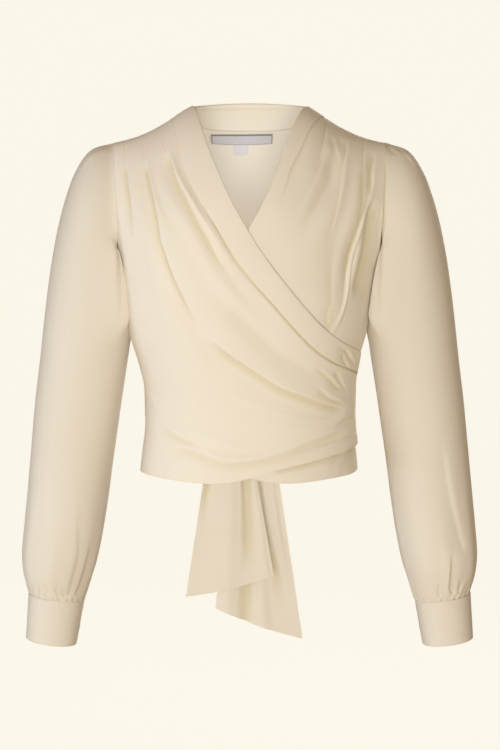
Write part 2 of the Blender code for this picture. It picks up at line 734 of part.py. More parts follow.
def make_ties():
    down = np.linspace(0, 1, 2 * TIE_RIPPLES + 1)[None, :]
    for row in TIES:
        tie = dict(zip(TIE_COLUMNS, row))
        turn = np.linspace(tie["start_turn"], KNOT_TURN, tie["steps"] + 1)[:, None] + 0 * down
        narrow = smooth(tie["narrow_from"], 90 if tie["side"] < 0 else KNOT_TURN, turn)
        lift = TIE_LIFT * narrow * (1 - smooth(92, 130, turn)) * (tie["side"] < 0)
        top = TIE_TOP_RUN + (KNOT_TOP_RUN - TIE_TOP_RUN) * narrow - lift
        bottom = TIE_BOTTOM_RUN + (KNOT_BOTTOM_RUN - TIE_BOTTOM_RUN) * narrow - lift
        run = top + (bottom - top) * down
        lengthwise = (1 - np.cos(math.tau * TIE_RIPPLES * down)) / 2
        ripple = TIE_RIPPLE_RISE * smooth(tie["ripple_from"], tie["ripple_from"] + 14, turn)
        rise = tie_rise(tie["side"], turn) + lengthwise * ripple
        form_panel(tie["name"], tie["side"] * turn, run, rise, WALL)


KNOT_CENTRE = (0.0, 105.5, -386.0)
KNOT_HALF = (21.0, 11.5, 26.0)


def make_knot():
    """A pulled square knot: a rounded lump with a slanting wrap and two dents."""
    rows, sides = 9, 16
    points = [(0, 0, 1)]
    for k in range(1, rows):
        polar = math.pi * k / rows
        for i in range(sides):
            angle = math.tau * i / sides
            level = math.sin(polar)
            points.append((level * math.cos(angle), level * math.sin(angle), math.cos(polar)))
    points.append((0, 0, -1))
    direction = np.array(points)
    boxy = (np.abs(direction) ** 2.6).sum(-1, keepdims=True) ** (-1 / 2.6)
    slant = direction[:, 2] + 0.7 * direction[:, 0]
    dent = 1 - 0.10 * np.exp(-((np.abs(slant) - 0.55) / 0.14) ** 2)
    shaped = direction * boxy * dent[:, None] * np.array(KNOT_HALF) + np.array(KNOT_CENTRE)
    faces = []
    for i in range(sides):
        j = (i + 1) % sides
        faces.append((0, 1 + i, 1 + j))
        last = 1 + (rows - 2) * sides
        faces.append((last + i, len(points) - 1, last + j))
        for k in range(rows - 2):
            a = 1 + k * sides
            faces.append((a + i, a + sides + i, a + sides + j, a + j))
    solid("tie_knot", shaped, faces, CREAM)


TAIL_COLUMNS = (
    "name", "depth_top", "depth_end",
    "top_left", "top_right", "top_z",
    "hem_left", "hem_right",
    "end_left", "end_left_z", "end_right", "end_right_z",
)
TAILS = (
    ("tie_tail_front", 103, 112, -16, 13, -412.5, -62, 11, -86, -656, 33, -627),
    ("tie_tail_back", 109, 120, -13, 17, -412.5, -30, 40, -46, -674, 72, -716),
)
HEM_Z = -500.0


def tail_sheet(tail, across, down):
    """Points of a hanging end; across 0 is its left edge, down 1 its slanted hem."""
    end_z = tail["end_left_z"] + (tail["end_right_z"] - tail["end_left_z"]) * across
    z = tail["top_z"] + (end_z - tail["top_z"]) * down
    hem_down = (HEM_Z - tail["top_z"]) / (end_z - tail["top_z"])
    left = edge_curve(tail["top_left"], tail["hem_left"], tail["end_left"], down, hem_down)
    right = edge_curve(tail["top_right"], tail["hem_right"], tail["end_right"], down, hem_down)
    x = left + (right - left) * across
    y = tail["depth_top"] + (tail["depth_end"] - tail["depth_top"]) * smooth(0, 0.5, down)
    return np.stack([x, y + 0 * x, z + 0 * x], -1)


def edge_curve(top, hem, end, down, hem_down):
    near = top + (hem - top) * np.minimum(down / hem_down, 1)
    far = hem + (end - hem) * np.clip((down - hem_down) / (1 - hem_down), 0, 1)
    return np.where(down < hem_down, near, far)


TAIL_FOLD_COLUMNS = ("across", "rise", "width")
TAIL_FOLDS = ((0.16, 3.0, 0.13), (0.48, 3.6, 0.12), (0.80, 3.0, 0.13))


def make_tails():
    for row in TAILS:
        tail = dict(zip(TAIL_COLUMNS, row))
        across = np.linspace(0, 1, 13)[None, :]
        down = np.linspace(0, 1, 9)[:, None]
        points = tail_sheet(tail, across, down)
        for fold_row in TAIL_FOLDS:
            fold = dict(zip(TAIL_FOLD_COLUMNS, fold_row))
            hump = 1 - smooth(0, 1, np.abs(across - fold["across"]) / fold["width"])
            points[..., 1] -= fold["rise"] * hump * (1 - 0.75 * smooth(0.3, 1.0, down))
        inner = points + np.array([0, WALL, 0])
        wall(tail["name"], points, inner, CREAM)


# ---------------------------------------------------------------- labels inside the back neck

LABEL_WALL = 1.0
TAB_GAP = 1.0              # clear of the back's facets
LABEL_COLUMNS = ("name", "centre_turn", "half_turn", "top_run", "bottom_run", "gap", "colour")
LABELS = (
    ("label", -2.9, 11.6, 122.5, 137.5, TAB_GAP + LABEL_WALL + SEAM, (0.66, 0.62, 0.66)),
    ("size_tab", -3.4, 2.9, 133.0, 155.5, TAB_GAP, (0.80, 0.78, 0.80)),
)


def make_labels():
    """Bare woven strips: the tab's top is caught between the label and the back."""
    for row in LABELS:
        label = dict(zip(LABEL_COLUMNS, row))
        across = np.linspace(-1, 1, 9)[None, :] * label["half_turn"]
        run = np.linspace(label["top_run"], label["bottom_run"], 3)[:, None] + 0 * across
        turn = 180 - label["centre_turn"] - across + 0 * run
        rise = np.full(turn.shape, -WALL - label["gap"])
        form_panel(label["name"], turn, run, rise, LABEL_WALL, label["colour"])


# ---------------------------------------------------------------- the garment

def main():
    for old in list(bpy.data.objects):
        bpy.data.objects.remove(old, do_unlink=True)
    make_fronts()
    make_back()
    make_back_band()
    for name, side in (("left", 1), ("right", -1)):
        make_sleeve(name, side)
        make_cuff(name, side)
    make_ties()
    make_knot()
    make_tails()
    make_labels()


main()
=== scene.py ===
"""A cream crepe wrap top in its worn shape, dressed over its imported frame.

Lengths are millimetres until a mesh is made.  +X is the wearer's left, -Y the front, +Z up.
A place on the body form is a turn (degrees round the body from the centre front) and a run
(millimetres down the cloth from the ridge of the shoulder); a rise moves it out.
"""
import math

import bpy
import numpy as np
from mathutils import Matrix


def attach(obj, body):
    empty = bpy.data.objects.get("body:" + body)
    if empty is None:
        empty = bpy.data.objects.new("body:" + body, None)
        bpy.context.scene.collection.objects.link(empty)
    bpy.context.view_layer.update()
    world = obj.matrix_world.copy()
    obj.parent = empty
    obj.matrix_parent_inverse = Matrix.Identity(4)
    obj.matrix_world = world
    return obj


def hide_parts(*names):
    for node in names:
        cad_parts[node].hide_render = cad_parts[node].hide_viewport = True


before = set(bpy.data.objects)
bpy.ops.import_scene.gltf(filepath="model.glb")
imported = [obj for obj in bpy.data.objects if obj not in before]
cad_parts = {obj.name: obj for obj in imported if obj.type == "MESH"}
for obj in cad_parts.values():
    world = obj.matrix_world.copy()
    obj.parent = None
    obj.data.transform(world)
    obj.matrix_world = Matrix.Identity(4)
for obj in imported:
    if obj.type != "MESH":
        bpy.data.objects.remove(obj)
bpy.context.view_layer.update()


# ================================================================ back
# One panel of light crepe from the hem to the back neck and the shoulder seams, cut with the
# grain down the centre.  It is sewn to the fronts at the shoulders and the left side, and the
# right side seam stands open at the waist for the tie.

LAYER = 3.8                # from one front to the front that crosses over it
SEAM = 0.3
BODY_ROUNDNESS = 2.35
SHOULDER_TIP = -45.5
SHOULDER_DROP = 150.0
SLOPE_ENDS = -330.0
SIDE_HEM_RUN = 498.0
BACK_HEM_RUN = 503.0
ARMPIT_RUN = 245.0
NECK_TURN = 28.0
BACK_NECK_RUN = 119.5
SIDE_GAP_TURN = 0.09
SHOULDER_GAP_RUN = 0.5
CLOTH = 0.7                # crepe and its give, as a skin

TORSO_COLUMNS = ("height", "half_width", "front", "back")
TORSO = (
    (-46, 200, 90, 90),
    (-90, 197, 95, 98),
    (-130, 188, 101, 103),
    (-165, 176, 108, 104),
    (-196, 164.5, 113, 103),
    (-240, 156.5, 115, 98),
    (-284, 149.5, 110, 93),
    (-320, 139, 102, 89),
    (-346, 133.5, 98, 87),
    (-372, 132, 96, 87),
    (-410, 133, 97, 90),
    (-437, 136.5, 99, 94),
    (-463, 139, 101, 98),
    (-500, 141, 103, 102),
)
SHOULDER_COLUMNS = ("across", "height")
SHOULDER = (
    (0, 14),
    (30, 12),
    (60, 5.5),
    (74, 1),
    (88, -7.5),
    (103, -17.5),
    (120, -27),
    (142, -36.5),
    (162, -42),
    (180, -45.5),
    (215, -52),
)
ARMHOLE_COLUMNS = ("run", "turn")
ARMHOLE = ((0, 54.8), (40, 54.2), (110, 54.4), (170, 58.8), (215, 68.5), (237, 80), (245, 90))


def column(table, names, name):
    """One named column of a table."""
    return np.array([row[names.index(name)] for row in table], float)


def named(columns, table):
    """The rows of a table, each as a dictionary."""
    return [dict(zip(columns, row)) for row in table]


def between(u, first, second, first_slope, second_slope):
    """A smooth step from one value to the next, as u goes from 0 to 1."""
    return (
        first * (1 + 2 * u) * (1 - u) ** 2
        + first_slope * u * (1 - u) ** 2
        + second * u * u * (3 - 2 * u)
        - second_slope * u * u * (1 - u)
    )


def curve(at, value):
    """A smooth function through the values at the given places."""
    order = np.argsort(at)
    at, value = at[order], value[order]
    slope = np.gradient(value, at)

    def height(place):
        place = np.clip(np.asarray(place, float), at[0], at[-1])
        i = np.clip(np.searchsorted(at, place, side="right") - 1, 0, len(at) - 2)
        width = at[i + 1] - at[i]
        u = (place - at[i]) / width
        return between(u, value[i], value[i + 1], slope[i] * width, slope[i + 1] * width)

    return height


def table_curve(table, names, key, name):
    return curve(column(table, names, key), column(table, names, name))


def smooth(low, high, value):
    """0 at low, 1 at high, with level ends."""
    t = np.clip((np.asarray(value, float) - low) / (high - low), 0, 1)
    return t * t * (3 - 2 * t)


def window(begins, full, wanes, gone, value):
    """0 up to begins, 1 from full to wanes and 0 again from gone on."""
    return smooth(begins, full, value) * (1 - smooth(wanes, gone, value))


def bell(off, width):
    """1 at no distance, and soon less past a width."""
    return np.exp(-((off / width) ** 2))


half_width, front_depth, back_depth = (
    table_curve(TORSO, TORSO_COLUMNS, "height", name) for name in TORSO_COLUMNS[1:]
)
shoulder_height = table_curve(SHOULDER, SHOULDER_COLUMNS, "across", "height")
armhole_turn = table_curve(ARMHOLE, ARMHOLE_COLUMNS, "run", "turn")


def reach(turn, roundness):
    """Radius of a rounded section of unit size, in the direction of turn."""
    s, c = np.abs(np.sin(np.radians(turn))), np.abs(np.cos(np.radians(turn)))
    return (s**roundness + c**roundness) ** (-1 / roundness)


def form(turn, run):
    """Points of the body form."""
    turn, run = np.broadcast_arrays(np.asarray(turn, float), np.asarray(run, float))
    over = np.clip(run / SHOULDER_DROP, -0.3, math.pi / 2)
    level = SHOULDER_TIP - SHOULDER_DROP * (1 - np.cos(over))
    level = level - np.maximum(run - SHOULDER_DROP * math.pi / 2, 0)
    size = reach(turn, BODY_ROUNDNESS)
    x = half_width(level) * size * np.sin(np.radians(turn))
    c = np.cos(np.radians(turn))
    y = np.where(c >= 0, -front_depth(level), -back_depth(level)) * size * c * np.sin(over)
    slope_share = smooth(SLOPE_ENDS, SHOULDER_TIP - SHOULDER_DROP, level)
    z = level + (shoulder_height(np.abs(x)) - SHOULDER_TIP) * slope_share
    return np.stack([x, y, z], -1)


def unit(vectors):
    return vectors / np.maximum(np.linalg.norm(vectors, axis=-1, keepdims=True), 1e-9)


def form_normal(turn, run):
    step = 0.5
    across = form(turn + step, run) - form(turn - step, run)
    down = form(turn, run + step) - form(turn, run - step)
    return unit(np.cross(down, across))


def armhole_run(place):
    """Run of the armhole, from 0 at the shoulder tip to 1 at the armpit, evenly turned."""
    turned = math.pi * np.asarray(place, float)
    height = SHOULDER_DROP + ARMPIT_RUN - SHOULDER_DROP * math.pi / 2
    level = SHOULDER_TIP - 0.5 * height * (1 - np.cos(turned))
    over = np.arccos(np.clip(1 - (SHOULDER_TIP - level) / SHOULDER_DROP, 0, 1))
    below = np.maximum(SHOULDER_TIP - SHOULDER_DROP - level, 0)
    return np.maximum(SHOULDER_DROP * over + below, SHOULDER_GAP_RUN)


def armhole_edge(run):
    """Turn of the armhole at a run, kept short of the side seam."""
    return np.minimum(armhole_turn(run), 90 - SIDE_GAP_TURN)


CREASE_COLUMNS = ("line", "depth", "lip", "low", "edge", "high", "shade_paint", "fade_in", "fade_out")


def traced(line, step=1.5):
    """A smooth line through places, as places about a step apart."""
    corners = np.array(line, float)
    lengths = np.linalg.norm(np.diff(corners, axis=0) * (2.0, 1.0), axis=1)
    at = np.concatenate([[0], np.cumsum(lengths)])
    fine = np.linspace(0, at[-1], max(int(at[-1] / step), 2) + 1)
    return curve(at, corners[:, 0])(fine), curve(at, corners[:, 1])(fine)


def crease(points, normals, line, fold):
    """Rise and painted shade that one crease gives to points: a soft fall on its low side, which is
    below it or towards the wearer's right, and a crisp face with a lip on the other."""
    flat, flat_normals = points.reshape(-1, 3), normals.reshape(-1, 3)
    lengths = np.concatenate([[0], np.cumsum(np.linalg.norm(np.diff(line, axis=0), axis=1))])
    tangents = unit(np.gradient(line, axis=0))
    far = (flat**2).sum(1)[:, None] + (line**2).sum(1)[None, :] - 2 * flat @ line.T
    nearest = far.argmin(1)
    offset = flat - line[nearest]
    lengthwise = (offset * tangents[nearest]).sum(1)
    along = lengths[nearest] + lengthwise
    across = offset - lengthwise[:, None] * tangents[nearest]
    beyond = np.maximum(np.maximum(-along, along - lengths[-1]), 0)
    off = np.sqrt((across**2).sum(1) + beyond**2)
    side = (np.cross(tangents[nearest], flat_normals) * across).sum(1)
    below = -fold["depth"] * np.exp(-((off / fold["low"]) ** 1.5))
    climbed = 1 - bell(off, fold["edge"])
    above = fold["lip"] * climbed * bell(off, fold["high"]) - fold["depth"] * (1 - climbed)
    fade = np.ones(len(flat))
    if fold["fade_in"]:
        fade = fade * smooth(0, fold["fade_in"], along)
    if fold["fade_out"]:
        fade = fade * (1 - smooth(lengths[-1] - fold["fade_out"], lengths[-1], along))
    wide = np.where(side > 0, 1.7 + 1.4 * fold["edge"], 0.6 + 0.5 * fold["edge"])
    # painted shade: darker colour along the crease line, wider on its low side
    shade_paint = fold["shade_paint"] * bell(off, wide) * fade
    rise = np.where(side > 0, below, above) * fade
    return rise.reshape(points.shape[:-1]), shade_paint.reshape(points.shape[:-1])


def creased(turn, run, rows):
    """Rise and painted shade of a table of creases whose lines are turns and runs on the form."""
    points, normals = form(turn, run), form_normal(turn, run)
    rise, painted_shade_and_border = np.zeros(points.shape[:-1]), np.zeros(points.shape[:-1])
    for fold in named(CREASE_COLUMNS, rows):
        more, more_shade_paint = crease(points, normals, form(*traced(fold["line"])), fold)
        rise += more
        painted_shade_and_border = np.maximum(painted_shade_and_border, more_shade_paint)
    return rise, painted_shade_and_border


HEM = 8.0                  # from a hem's edge to its row of stitches
stitch_paths = []


def stitch_along(outer, inset=HEM, skip=4):
    """Keep a path for stitches: the row of outer points at a distance from the first row."""
    fallen = np.linalg.norm(outer - outer[:1], axis=-1).mean(1)
    row = int(np.argmin(np.abs(fallen - inset)))
    stitch_paths.append(outer[row, skip:-skip])


def drift(points, height=0.35, length=34.0, phase=0.0):
    """The slow unevenness of soft cloth, the same at each place on every run."""
    x, y, z = np.moveaxis(points / length, -1, 0)
    wander = np.sin(x + 1.7 * np.sin(0.6 * z + phase) + 0.8 * y)
    wander = wander + np.sin(0.9 * z - 1.3 * np.sin(0.5 * x - phase) + 1.1 * y + 2.0)
    return height * 0.5 * wander


def edge_fine(count, first=0.0015):
    """Shares from 0 to 1, evenly spaced but for a few close steps at both ends."""
    near = first * np.array([0, 1, 2.2])
    middle = np.linspace(4.5 * first, 1 - 4.5 * first, count)
    return np.concatenate([near, middle, 1 - near[::-1]])


def sheet_normals(points, closed=False):
    """Normals of rows of points, from the points themselves."""
    down = np.gradient(points, axis=0)
    if closed:
        across = np.roll(points, -1, axis=1) - np.roll(points, 1, axis=1)
    else:
        across = np.gradient(points, axis=1)
    return unit(np.cross(down, across))


def placed(name, data):
    """A new object in the scene."""
    thing = bpy.data.objects.new(name, data)
    bpy.context.scene.collection.objects.link(thing)
    return thing


def shell(name, outer, finish, thickness=CLOTH, painted_shade_and_border=0.0, closed=False, outward=None):
    """A closed skin of quads under rows of outer points; closed rows make a tube.

    outward gives the rough outward directions, where the points don't lie round their middle.
    """
    rows, columns = outer.shape[:2]
    normal = sheet_normals(outer, closed)
    if outward is None:
        outward = outer - outer.mean((0, 1))
    if (normal * outward).sum() < 0:
        normal = -normal
    inner = outer - np.asarray(thickness, float)[..., None] * normal
    points = np.concatenate([outer.reshape(-1, 3), inner.reshape(-1, 3)])
    spans = columns if closed else columns - 1
    i, j = (index.ravel() for index in np.mgrid[0 : rows - 1, 0:spans])
    edge, last = np.arange(spans), rows - 1
    side, end = np.arange(rows - 1), columns - 1
    quads = [
        ((0, i, j), (0, i + 1, j), (0, i + 1, j + 1), (0, i, j + 1)),
        ((1, i, j), (1, i, j + 1), (1, i + 1, j + 1), (1, i + 1, j)),
        ((0, 0, edge), (0, 0, edge + 1), (1, 0, edge + 1), (1, 0, edge)),
        ((0, last, edge + 1), (0, last, edge), (1, last, edge), (1, last, edge + 1)),
    ]
    if not closed:
        quads += [
            ((0, side + 1, 0), (0, side, 0), (1, side, 0), (1, side + 1, 0)),
            ((0, side, end), (0, side + 1, end), (1, side + 1, end), (1, side, end)),
        ]
    faces, places = [], []
    for quad in quads:
        layer, row, col = (np.stack(np.broadcast_arrays(*part), -1) for part in zip(*quad))
        layer, row, col = np.broadcast_arrays(layer, row, col)
        faces.append(layer * rows * columns + row * columns + col % columns)
        places.append(row * (columns + 1) + col)
    faces, places = np.concatenate(faces), np.concatenate(places)
    a, b, c, d = (points[faces[:, k]] for k in range(4))
    volume = (a * np.cross(b, c)).sum() + (a * np.cross(c, d)).sum()
    if volume < 0:
        faces, places = faces[:, ::-1], places[:, ::-1]
    wrapped = np.concatenate([outer, outer[:, :1]], axis=1)
    width = np.linalg.norm(np.diff(wrapped, axis=1), axis=-1)
    height = np.linalg.norm(np.diff(wrapped, axis=0), axis=-1)
    u = np.concatenate([np.zeros((rows, 1)), np.cumsum(width, 1)], 1)
    u = u - u[:, columns // 2 : columns // 2 + 1]
    v = np.concatenate([np.zeros((1, columns + 1)), np.cumsum(height, 0)], 0)
    cloth = np.stack([u, -v], -1).reshape(-1, 2) * 0.001
    mesh = bpy.data.meshes.new(name)
    mesh.vertices.add(len(points))
    mesh.vertices.foreach_set("co", (points * 0.001).ravel())
    mesh.loops.add(faces.size)
    mesh.loops.foreach_set("vertex_index", faces.ravel())
    mesh.polygons.add(len(faces))
    mesh.polygons.foreach_set("loop_start", 4 * np.arange(len(faces)))
    mesh.update(calc_edges=True)
    mesh.uv_layers.new(name="cloth").data.foreach_set("uv", cloth[places.ravel()].ravel())
    # per point: painted shade in the creases, seams and hems of crepe, and the woven border of a
    # label
    depth = np.broadcast_to(np.asarray(painted_shade_and_border, float), outer.shape[:2]).ravel()
    attribute = mesh.attributes.new("painted_shade_and_border", "FLOAT", "POINT")
    attribute.data.foreach_set("value", np.concatenate([depth, depth]))
    mesh.shade_smooth()
    mesh.set_sharp_from_angle(angle=math.radians(55))
    mesh.validate()
    mesh.materials.append(finish)
    return placed(name, mesh)


def plug(tree, slot, value):
    """Link a socket to a value of the material, or set it to a constant."""
    if isinstance(value, Field):
        tree.links.new(value.socket, slot)
    else:
        slot.default_value = value


class Field:
    """A value in a material: Python's operators on it add Math nodes."""

    def __init__(self, tree, socket):
        self.tree = tree
        self.socket = socket

    def maths(self, operation, *values):
        node = self.tree.nodes.new("ShaderNodeMath")
        node.operation = operation
        for slot, value in zip(node.inputs, values):
            plug(self.tree, slot, value)
        return Field(self.tree, node.outputs[0])

    def __add__(self, other):
        return self.maths("ADD", self, other)

    def __sub__(self, other):
        return self.maths("SUBTRACT", self, other)

    def __rsub__(self, other):
        return self.maths("SUBTRACT", other, self)

    def __mul__(self, other):
        return self.maths("MULTIPLY", self, other)

    def __truediv__(self, other):
        return self.maths("DIVIDE", self, other)

    def __pow__(self, other):
        return self.maths("POWER", self, other)

    __radd__ = __add__
    __rmul__ = __mul__


class Finish:
    """A material in the making."""

    def __init__(self, name, **constants):
        self.material = bpy.data.materials.new(name)
        self.material.use_nodes = True
        self.tree = self.material.node_tree
        self.shader = self.tree.nodes["Principled BSDF"]
        for socket, value in constants.items():
            self.shader.inputs[socket.replace("_", " ")].default_value = value

    def add(self, kind, output=0, settings=(), **inputs):
        """Any node: its settings first, then the values or links of its sockets."""
        node = self.tree.nodes.new(kind)
        for name, value in dict(settings).items():
            setattr(node, name, value)
        for name, value in inputs.items():
            plug(self.tree, node.inputs[name.replace("_", " ")], value)
        return Field(self.tree, node.outputs[output])

    def mix(self, share, first, second):
        """A colour between two colours."""
        node = self.tree.nodes.new("ShaderNodeMix")
        node.data_type = "RGBA"
        for slot, value in ((0, share), (6, first), (7, second)):
            plug(self.tree, node.inputs[slot], value)
        return Field(self.tree, node.outputs[2])

    def feed(self, socket, field):
        self.tree.links.new(field.socket, self.shader.inputs[socket])


def noise(finish, place, scale, detail=2.0):
    """Soft random values about one half."""
    return finish.add("ShaderNodeTexNoise", Vector=place, Scale=scale, Detail=detail)


WAVE_LENGTH = 0.314        # metres from one band of the wave texture to the next at scale 1


def waves(finish, cloth, direction, pitch, **settings):
    """Threads side by side along one direction of the cloth, a pitch in metres apart."""
    return finish.add(
        "ShaderNodeTexWave", settings={"bands_direction": direction},
        Vector=cloth, Scale=WAVE_LENGTH / pitch, **settings,
    )


CREPE_LIGHT = (0.805, 0.735, 0.632, 1.0)
CREPE_SHADE = (0.765, 0.685, 0.565, 1.0)
# painted shade: the warm dark colour that creases, seams and folds are painted towards
CREPE_CREASE_SHADE = (0.66, 0.565, 0.345, 1.0)
THREAD_PITCH = 0.00042     # metres from one twisted thread of the weave to the next


def crepe_finish(name, light=CREPE_LIGHT, shade=CREPE_SHADE, crease_shade_colour=CREPE_CREASE_SHADE):
    """Matt crepe: a pebbled surface over a fine plain weave, with warm painted shade in its creases
    and seams.
    """
    finish = Finish(
        name, Roughness=0.82, Specular_IOR_Level=0.28,
        Sheen_Weight=0.22, Sheen_Roughness=0.45, Sheen_Tint=(1.0, 0.97, 0.90, 1.0),
    )
    place = finish.add("ShaderNodeTexCoord", output="Object")
    cloth = finish.add("ShaderNodeUVMap", settings={"uv_map": "cloth"})
    painted_shade_and_border = finish.add("ShaderNodeAttribute", output="Fac", settings={"attribute_name": "painted_shade_and_border"})
    pebble = noise(finish, place, 1150.0, 3.0)
    slub = noise(finish, place, 240.0, 2.0)
    cloud = noise(finish, place, 9.0, 2.0)
    warp = waves(finish, cloth, "X", THREAD_PITCH, Distortion=0.6, Detail=1.0)
    weft = waves(finish, cloth, "Y", THREAD_PITCH, Distortion=0.6, Detail=1.0)
    relief = 0.60 * pebble + 0.22 * slub + 0.09 * (warp + weft)
    bump = finish.add("ShaderNodeBump", Strength=0.35, Distance=0.00035, Height=relief)
    finish.feed("Normal", bump)
    mottle = (pebble - 0.5) * 0.35 + (slub - 0.5) * 0.25 + (cloud - 0.5) * 0.9 + 0.35
    mottle = mottle.maths("MINIMUM", mottle.maths("MAXIMUM", mottle, 0.0), 1.0)
    base = finish.mix(mottle, light, shade)
    # painted shade: the colour turns darker and warmer where the attribute marks creases and seams
    finish.feed("Base Color", finish.mix(painted_shade_and_border * 0.95, base, crease_shade_colour))
    finish.feed("Roughness", 0.78 + (pebble - 0.5) * 0.16 + painted_shade_and_border * 0.08)
    return finish.material


crepe = crepe_finish("cream_crepe")
# painted shade: the sleeves and cuffs are the same crepe, painted darker all over
SHADED_SLEEVE_LIGHT = (0.745, 0.680, 0.585, 1.0)
SHADED_SLEEVE_SHADE = (0.708, 0.634, 0.523, 1.0)
shaded_sleeve_crepe = crepe_finish("cream_crepe_sleeves_painted_darker", SHADED_SLEEVE_LIGHT, SHADED_SLEEVE_SHADE)


def belong(piece, node=None):
    """A piece rides with the garment, and may stand for a node of the CAD."""
    if node:
        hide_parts(node)
    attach(piece, "root")


def dress(piece, node):
    """A piece of crepe stands for its node and rides with the garment."""
    belong(piece, node=node)


NECK_STEPS, SHOULDER_STEPS, ARMHOLE_STEPS = 5, 3, 9
SLIT_TOP_RUN, SLIT_BOTTOM_RUN, SLIT_TURN = 372.0, 446.0, 7.5
CINCH_RUN = 425.0

# gathers that the ties press into the back: turn from the centre back, how far they reach up
# and down from the cinch line, their rise and their half width in degrees
GATHER_COLUMNS = ("turn", "up", "down", "rise", "half")
BACK_GATHERS = (
    (-58, 60, 40, 1.5, 6.0),
    (-45, 96, 58, 2.4, 7.0),
    (-33, 70, 66, 1.9, 5.0),
    (-24, 150, 70, 3.0, 6.0),
    (-13, 92, 74, 2.2, 4.6),
    (-4, 128, 72, 2.7, 5.2),
    (6, 84, 76, 2.3, 4.2),
    (15, 160, 70, 3.0, 5.6),
    (26, 88, 66, 2.2, 5.4),
    (38, 120, 60, 2.5, 7.0),
    (52, 70, 46, 1.8, 6.0),
)
# creases are turns and runs on the form, each with its depth, lip, low, edge, high, painted shade,
# fades
BACK_CREASES = (
    (((-176, 300), (-166, 338), (-160, 372), (-157, 400)), 1.4, 0.6, 12, 3.5, 12, 0.2, 40, 10),
    (((-149, 250), (-146, 300), (-147, 345), (-150, 390)), 1.9, 0.8, 13, 3.5, 14, 0.3, 50, 12),
    (((-126, 236), (-131, 280), (-135, 330), (-138, 380)), 1.6, 0.7, 12, 4, 14, 0.2, 30, 20),
    (((173, 286), (168, 330), (165, 370), (163, 402)), 1.6, 0.7, 12, 3.5, 12, 0.2, 40, 10),
    (((152, 262), (148, 305), (148, 350), (151, 392)), 1.9, 0.9, 13, 3.5, 14, 0.3, 50, 12),
    (((127, 238), (131, 285), (136, 335), (139, 382)), 1.5, 0.7, 12, 4, 14, 0.2, 30, 20),
    (((-119, 190), (-128, 206), (-140, 222), (-152, 232)), 1.2, 0.4, 10, 5, 12, 0.1, 10, 30),
    (((120, 196), (130, 214), (143, 228), (156, 236)), 1.2, 0.4, 10, 5, 12, 0.1, 10, 30),
)


def neck_run(turn):
    """Run of the back neck seam, from the centre back out to the shoulder seams."""
    share = np.clip(np.abs(turn) / NECK_TURN, 0, 1)
    return np.maximum(BACK_NECK_RUN * np.sqrt(1 - share**2.5), SHOULDER_GAP_RUN)


def back_top(place):
    """Turn from the centre back, and run, along the top edge: neck, shoulder, armhole."""
    shoulder_end = NECK_STEPS + SHOULDER_STEPS
    neck = NECK_TURN * np.sin(np.clip(place / NECK_STEPS, 0, 1) * math.pi / 2)
    across = np.clip((place - NECK_STEPS) / SHOULDER_STEPS, 0, 1)
    arm = armhole_run(np.clip((place - shoulder_end) / ARMHOLE_STEPS, 0, 1))
    shoulder = NECK_TURN + (armhole_turn(SHOULDER_GAP_RUN) - NECK_TURN) * across
    stretch = [place <= NECK_STEPS, place <= shoulder_end]
    turn = np.select(stretch, [neck, shoulder], armhole_edge(arm))
    run = np.select(stretch, [neck_run(neck), 0 * place + SHOULDER_GAP_RUN], arm)
    return turn, run


def back_gathered(turn, run):
    """Rise of the gathers that run up and down from under the ties."""
    rise = np.zeros(turn.shape)
    for fold in named(GATHER_COLUMNS, BACK_GATHERS):
        above = (CINCH_RUN - run) / fold["up"]
        below = (run - CINCH_RUN) / fold["down"]
        out = np.where(run < CINCH_RUN, above, below)
        lean = turn - fold["turn"] * (1 + 0.10 * np.clip(above, -1, 1))
        hump = np.exp(-((lean / fold["half"]) ** 2) * 1.6)
        rise += fold["rise"] * hump * smooth(0.04, 0.3, out) * (1 - smooth(0.45, 1.0, out))
    return rise


corners = np.cumsum([0, NECK_STEPS, SHOULDER_STEPS, ARMHOLE_STEPS])
place = np.linspace(0, corners[-1], 5 * corners[-1] + 1)
top_turn, top_run = back_top(place)
hem_turn = np.interp(place, corners, (0, 24, 43, 90 - SIDE_GAP_TURN))
hem_run = BACK_HEM_RUN + (SIDE_HEM_RUN - BACK_HEM_RUN) * smooth(30, 90, hem_turn)
up = edge_fine(136)[:, None]
turn = hem_turn + (top_turn - hem_turn) * up
run = hem_run + (top_run - hem_run) * up
turn = np.concatenate([-turn[:, :0:-1], turn], axis=1)
run = np.concatenate([run[:, :0:-1], run], axis=1)
at_slit = window(SLIT_TOP_RUN - 7, SLIT_TOP_RUN + 9, SLIT_BOTTOM_RUN - 11, SLIT_BOTTOM_RUN + 5, run)
turn = turn + SLIT_TURN * at_slit * (1 - smooth(0, 14, 90 + turn))
more, painted_shade_and_border = creased(180 - turn, run, BACK_CREASES)
points = form(180 - turn, run)
rise = back_gathered(turn, run) + more + drift(points, 0.5)
normals = form_normal(180 - turn, run)
outer = points + rise[..., None] * normals
away = unit(outer[-1] - outer[-4])
outer = np.concatenate([outer, (outer[-1] + 2.2 * away - 1.7 * normals[-1])[None]])
normals = np.concatenate([normals, normals[-1:]])
painted_shade_and_border = np.concatenate([painted_shade_and_border, painted_shade_and_border[-1:]])
back = shell("back_panel", outer, crepe, painted_shade_and_border=painted_shade_and_border, outward=normals)
stitch_along(outer)
dress(back, "back")


# ================================================================ fronts
# Two crossed fronts of the same crepe.  Each hangs from a run of small tucks in its shoulder
# seam and is drawn across the body to the opposite side, the wearer's right over the left.

